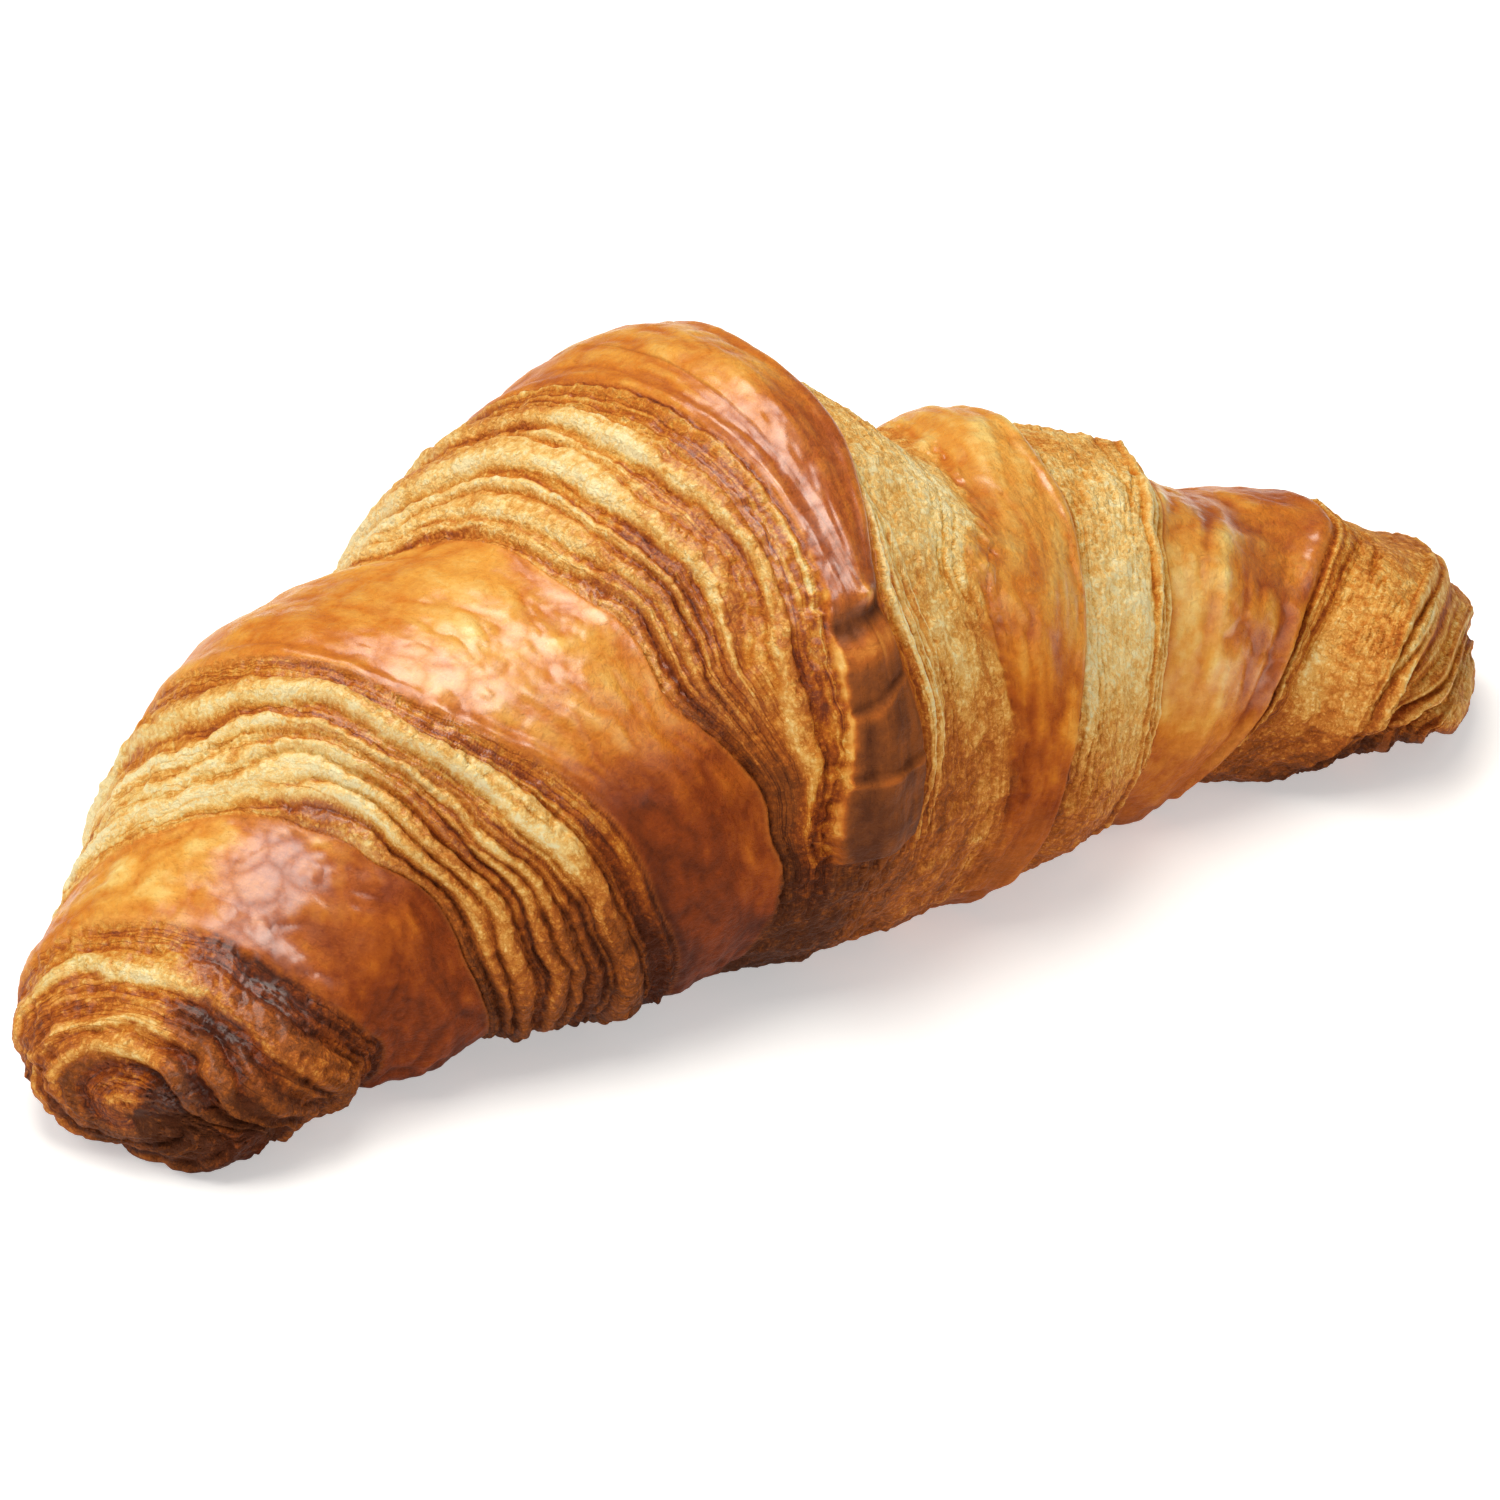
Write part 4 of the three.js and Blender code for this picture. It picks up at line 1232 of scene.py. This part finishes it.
def make_crust():
    material = bpy.data.materials.new("baked_crust")
    material.use_nodes = True
    tree = material.node_tree
    shader = tree.nodes["Principled BSDF"]

    def attribute(name, output="Fac"):
        node = tree.nodes.new("ShaderNodeAttribute")
        node.attribute_name = name
        return SkinValue(node.outputs[output])

    bake, gloss, dry, hue, leafy = map(attribute, ("bake", "gloss", "cut", "hue", "leafy"))
    grain = tree.nodes.new("ShaderNodeGroup")
    grain.node_tree = PASTRY_GRAIN
    attribute("fibre", "Vector").to(grain.inputs["Fibre"])
    attribute("fourth").to(grain.inputs["Fourth"])
    tree.links.new(tree.nodes.new("ShaderNodeTexCoord").outputs["Object"], grain.inputs["Place"])
    grains = {name: SkinValue(grain.outputs[name]) for name in GRAIN_NAMES}
    splits = grains["Splits"] * leafy
    crinkle = grains["Crinkle"] * (dry - leafy * 0.5).clamped()
    glint_specks = grains["Glint_specks"] * dry
    cushions = (grains["Cushions"] - MIDDLE_CUSHION) * (gloss * (1.0 - dry).clamped())

    def weigh(name, on_glaze, on_cut):
        """A grain around 0, weighed between glazed and cut skin."""
        return (grains[name] - 0.5) * (dry * (on_cut - on_glaze) + on_glaze)

    browned = bake
    for name, weights in GRAIN_BROWNS.items():
        browned = browned + weigh(name, *weights)
    # Splits darken with painted shade and glint specks lighten with painted highlights.
    browned = browned + splits * 0.17 + crinkle * 0.10 - glint_specks * 0.36 - cushions * 0.05
    colour = tree.nodes.new("ShaderNodeGroup")
    colour.node_tree = BROWNING
    browned.clamped().to(colour.inputs["Bake"])
    hue.to(colour.inputs["Cut"])
    tree.links.new(colour.outputs["Color"], shader.inputs["Base Color"])

    (ROUGHNESS - gloss * GLAZE_SMOOTHS + weigh("Mottle", 0.3, 0.3)).to(shader.inputs["Roughness"])
    ((cushions * 0.7 + gloss) * 0.9).clamped().to(shader.inputs["Coat Weight"])
    shader.inputs["Coat Roughness"].default_value = 0.27
    shader.inputs["Coat IOR"].default_value = 1.9
    shader.inputs["Specular IOR Level"].default_value = 0.05

    height = cushions * 0.35 - splits * 0.30 - crinkle * 0.30
    for name, weights in GRAIN_RISES.items():
        height = height + weigh(name, *weights)
    bump = tree.nodes.new("ShaderNodeBump")
    bump.inputs["Strength"].default_value = 0.8
    bump.inputs["Distance"].default_value = 0.0004
    height.to(bump.inputs["Height"])
    tree.links.new(bump.outputs["Normal"], shader.inputs["Normal"])
    return material


CRUST = make_crust()
for piece in PIECES:
    piece.data.materials.append(CRUST)
    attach(piece, "root")
    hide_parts(NODE)
print(CRUST.name, "has", len(CRUST.node_tree.nodes), "nodes")

# %% [markdown]
# ## Table, light and camera
#
# A pale table and three soft lights: a long one overhead that gives the milky shine on
# the glaze, a small one high on the left that picks out the near end, and a wide weak
# fill from the front right. Area lights are chosen because their size sets how soft a
# glint is. The table glows faintly, so that it stays pale in the shade of the roll.

# %% Stage
TABLE_REACH, TABLE_GLOW, TABLE_GREY = 2.0, 0.45, 0.82
# Each light's place from the middle of the roll, its size, its power in watts and its tint.
STUDIO_LIGHTS = {
    "overhead_light": ((-0.08, 0.04, 0.55), (0.76, 0.30), 3.8, (1, 0.955, 0.87)),
    "left_light": ((-0.48, 0, 0.42), (0.32, 0.28), 1.3, (1, 0.97, 0.92)),
    "front_fill": ((0.22, -0.55, 0.50), (0.7, 0.7), 1.2, (1, 0.97, 0.92)),
}


def make_table():
    corners = [(-1, -1), (1, -1), (1, 1), (-1, 1)]
    mesh = bpy.data.meshes.new("floor")
    mesh.from_pydata([(x * TABLE_REACH, y * TABLE_REACH, LOW[2]) for x, y in corners], [], [(0, 1, 2, 3)])
    material = bpy.data.materials.new("pale_table")
    material.use_nodes = True
    shader = material.node_tree.nodes["Principled BSDF"]
    shader.inputs["Base Color"].default_value = (TABLE_GREY, TABLE_GREY, TABLE_GREY, 1)
    shader.inputs["Roughness"].default_value = 0.9
    shader.inputs["Specular IOR Level"].default_value = 0.0
    shader.inputs["Emission Color"].default_value = (1, 1, 1, 1)
    shader.inputs["Emission Strength"].default_value = TABLE_GLOW
    mesh.materials.append(material)
    floor = bpy.data.objects.new("floor", mesh)
    bpy.context.scene.collection.objects.link(floor)


def make_light(name, place, size, power, tint):
    light = bpy.data.lights.new(name, "AREA")
    light.shape = "RECTANGLE"
    light.size, light.size_y = size
    light.energy = power
    light.color = tint
    lamp = bpy.data.objects.new(name, light)
    bpy.context.scene.collection.objects.link(lamp)
    middle = Vector((FRAME_MIDDLE[0], FRAME_MIDDLE[1], LOW[2] + SPAN[2] * 0.4))
    lamp.location = middle + Vector(place)
    lamp.rotation_euler = (middle - lamp.location).to_track_quat("-Z", "Y").to_euler()


make_table()
for name, settings in STUDIO_LIGHTS.items():
    make_light(name, *settings)
world = bpy.data.worlds.new("studio")
bpy.context.scene.world = world
world.use_nodes = True
world.node_tree.nodes["Background"].inputs["Color"].default_value = (1.0, 0.99, 0.97, 1)
world.node_tree.nodes["Background"].inputs["Strength"].default_value = 0.10
print("lights:", *STUDIO_LIGHTS)

# %% [markdown]
# The camera has a long lens and stands well back, as for a catalogue picture, so the
# near end isn't swollen. It looks from the left front and a little down.

# %% Camera
VIEW_AZIMUTH, VIEW_ELEVATION = math.radians(-36), math.radians(27)
VIEW_DISTANCE, LENS = 655.9, 165.0
AIM_HEIGHT, AIM_LEFT, AIM_DOWN = 24.0, 1.48, 9.12


def make_camera():
    a, e = VIEW_AZIMUTH, VIEW_ELEVATION
    back = Vector((math.sin(a) * math.cos(e), -math.cos(a) * math.cos(e), math.sin(e)))
    right = Vector((math.cos(a), math.sin(a), 0))
    up = back.cross(right)
    middle = Vector((FRAME_MIDDLE[0], FRAME_MIDDLE[1], LOW[2] + AIM_HEIGHT * MM))
    aim = middle - right * (AIM_LEFT * MM) - up * (AIM_DOWN * MM)
    data = bpy.data.cameras.new("camera")
    data.lens, data.sensor_width = LENS, 36
    data.clip_start = 0.05
    camera = bpy.data.objects.new("camera", data)
    camera.location = aim + back * (VIEW_DISTANCE * MM)
    camera.rotation_euler = back.to_track_quat("Z", "Y").to_euler()
    bpy.context.scene.collection.objects.link(camera)
    return camera


bpy.context.scene.camera = make_camera()
bpy.context.scene.view_settings.view_transform = "Standard"
print("camera at", [round(value, 3) for value in bpy.context.scene.camera.location])

# %% Update the scene
bpy.context.view_layer.update()
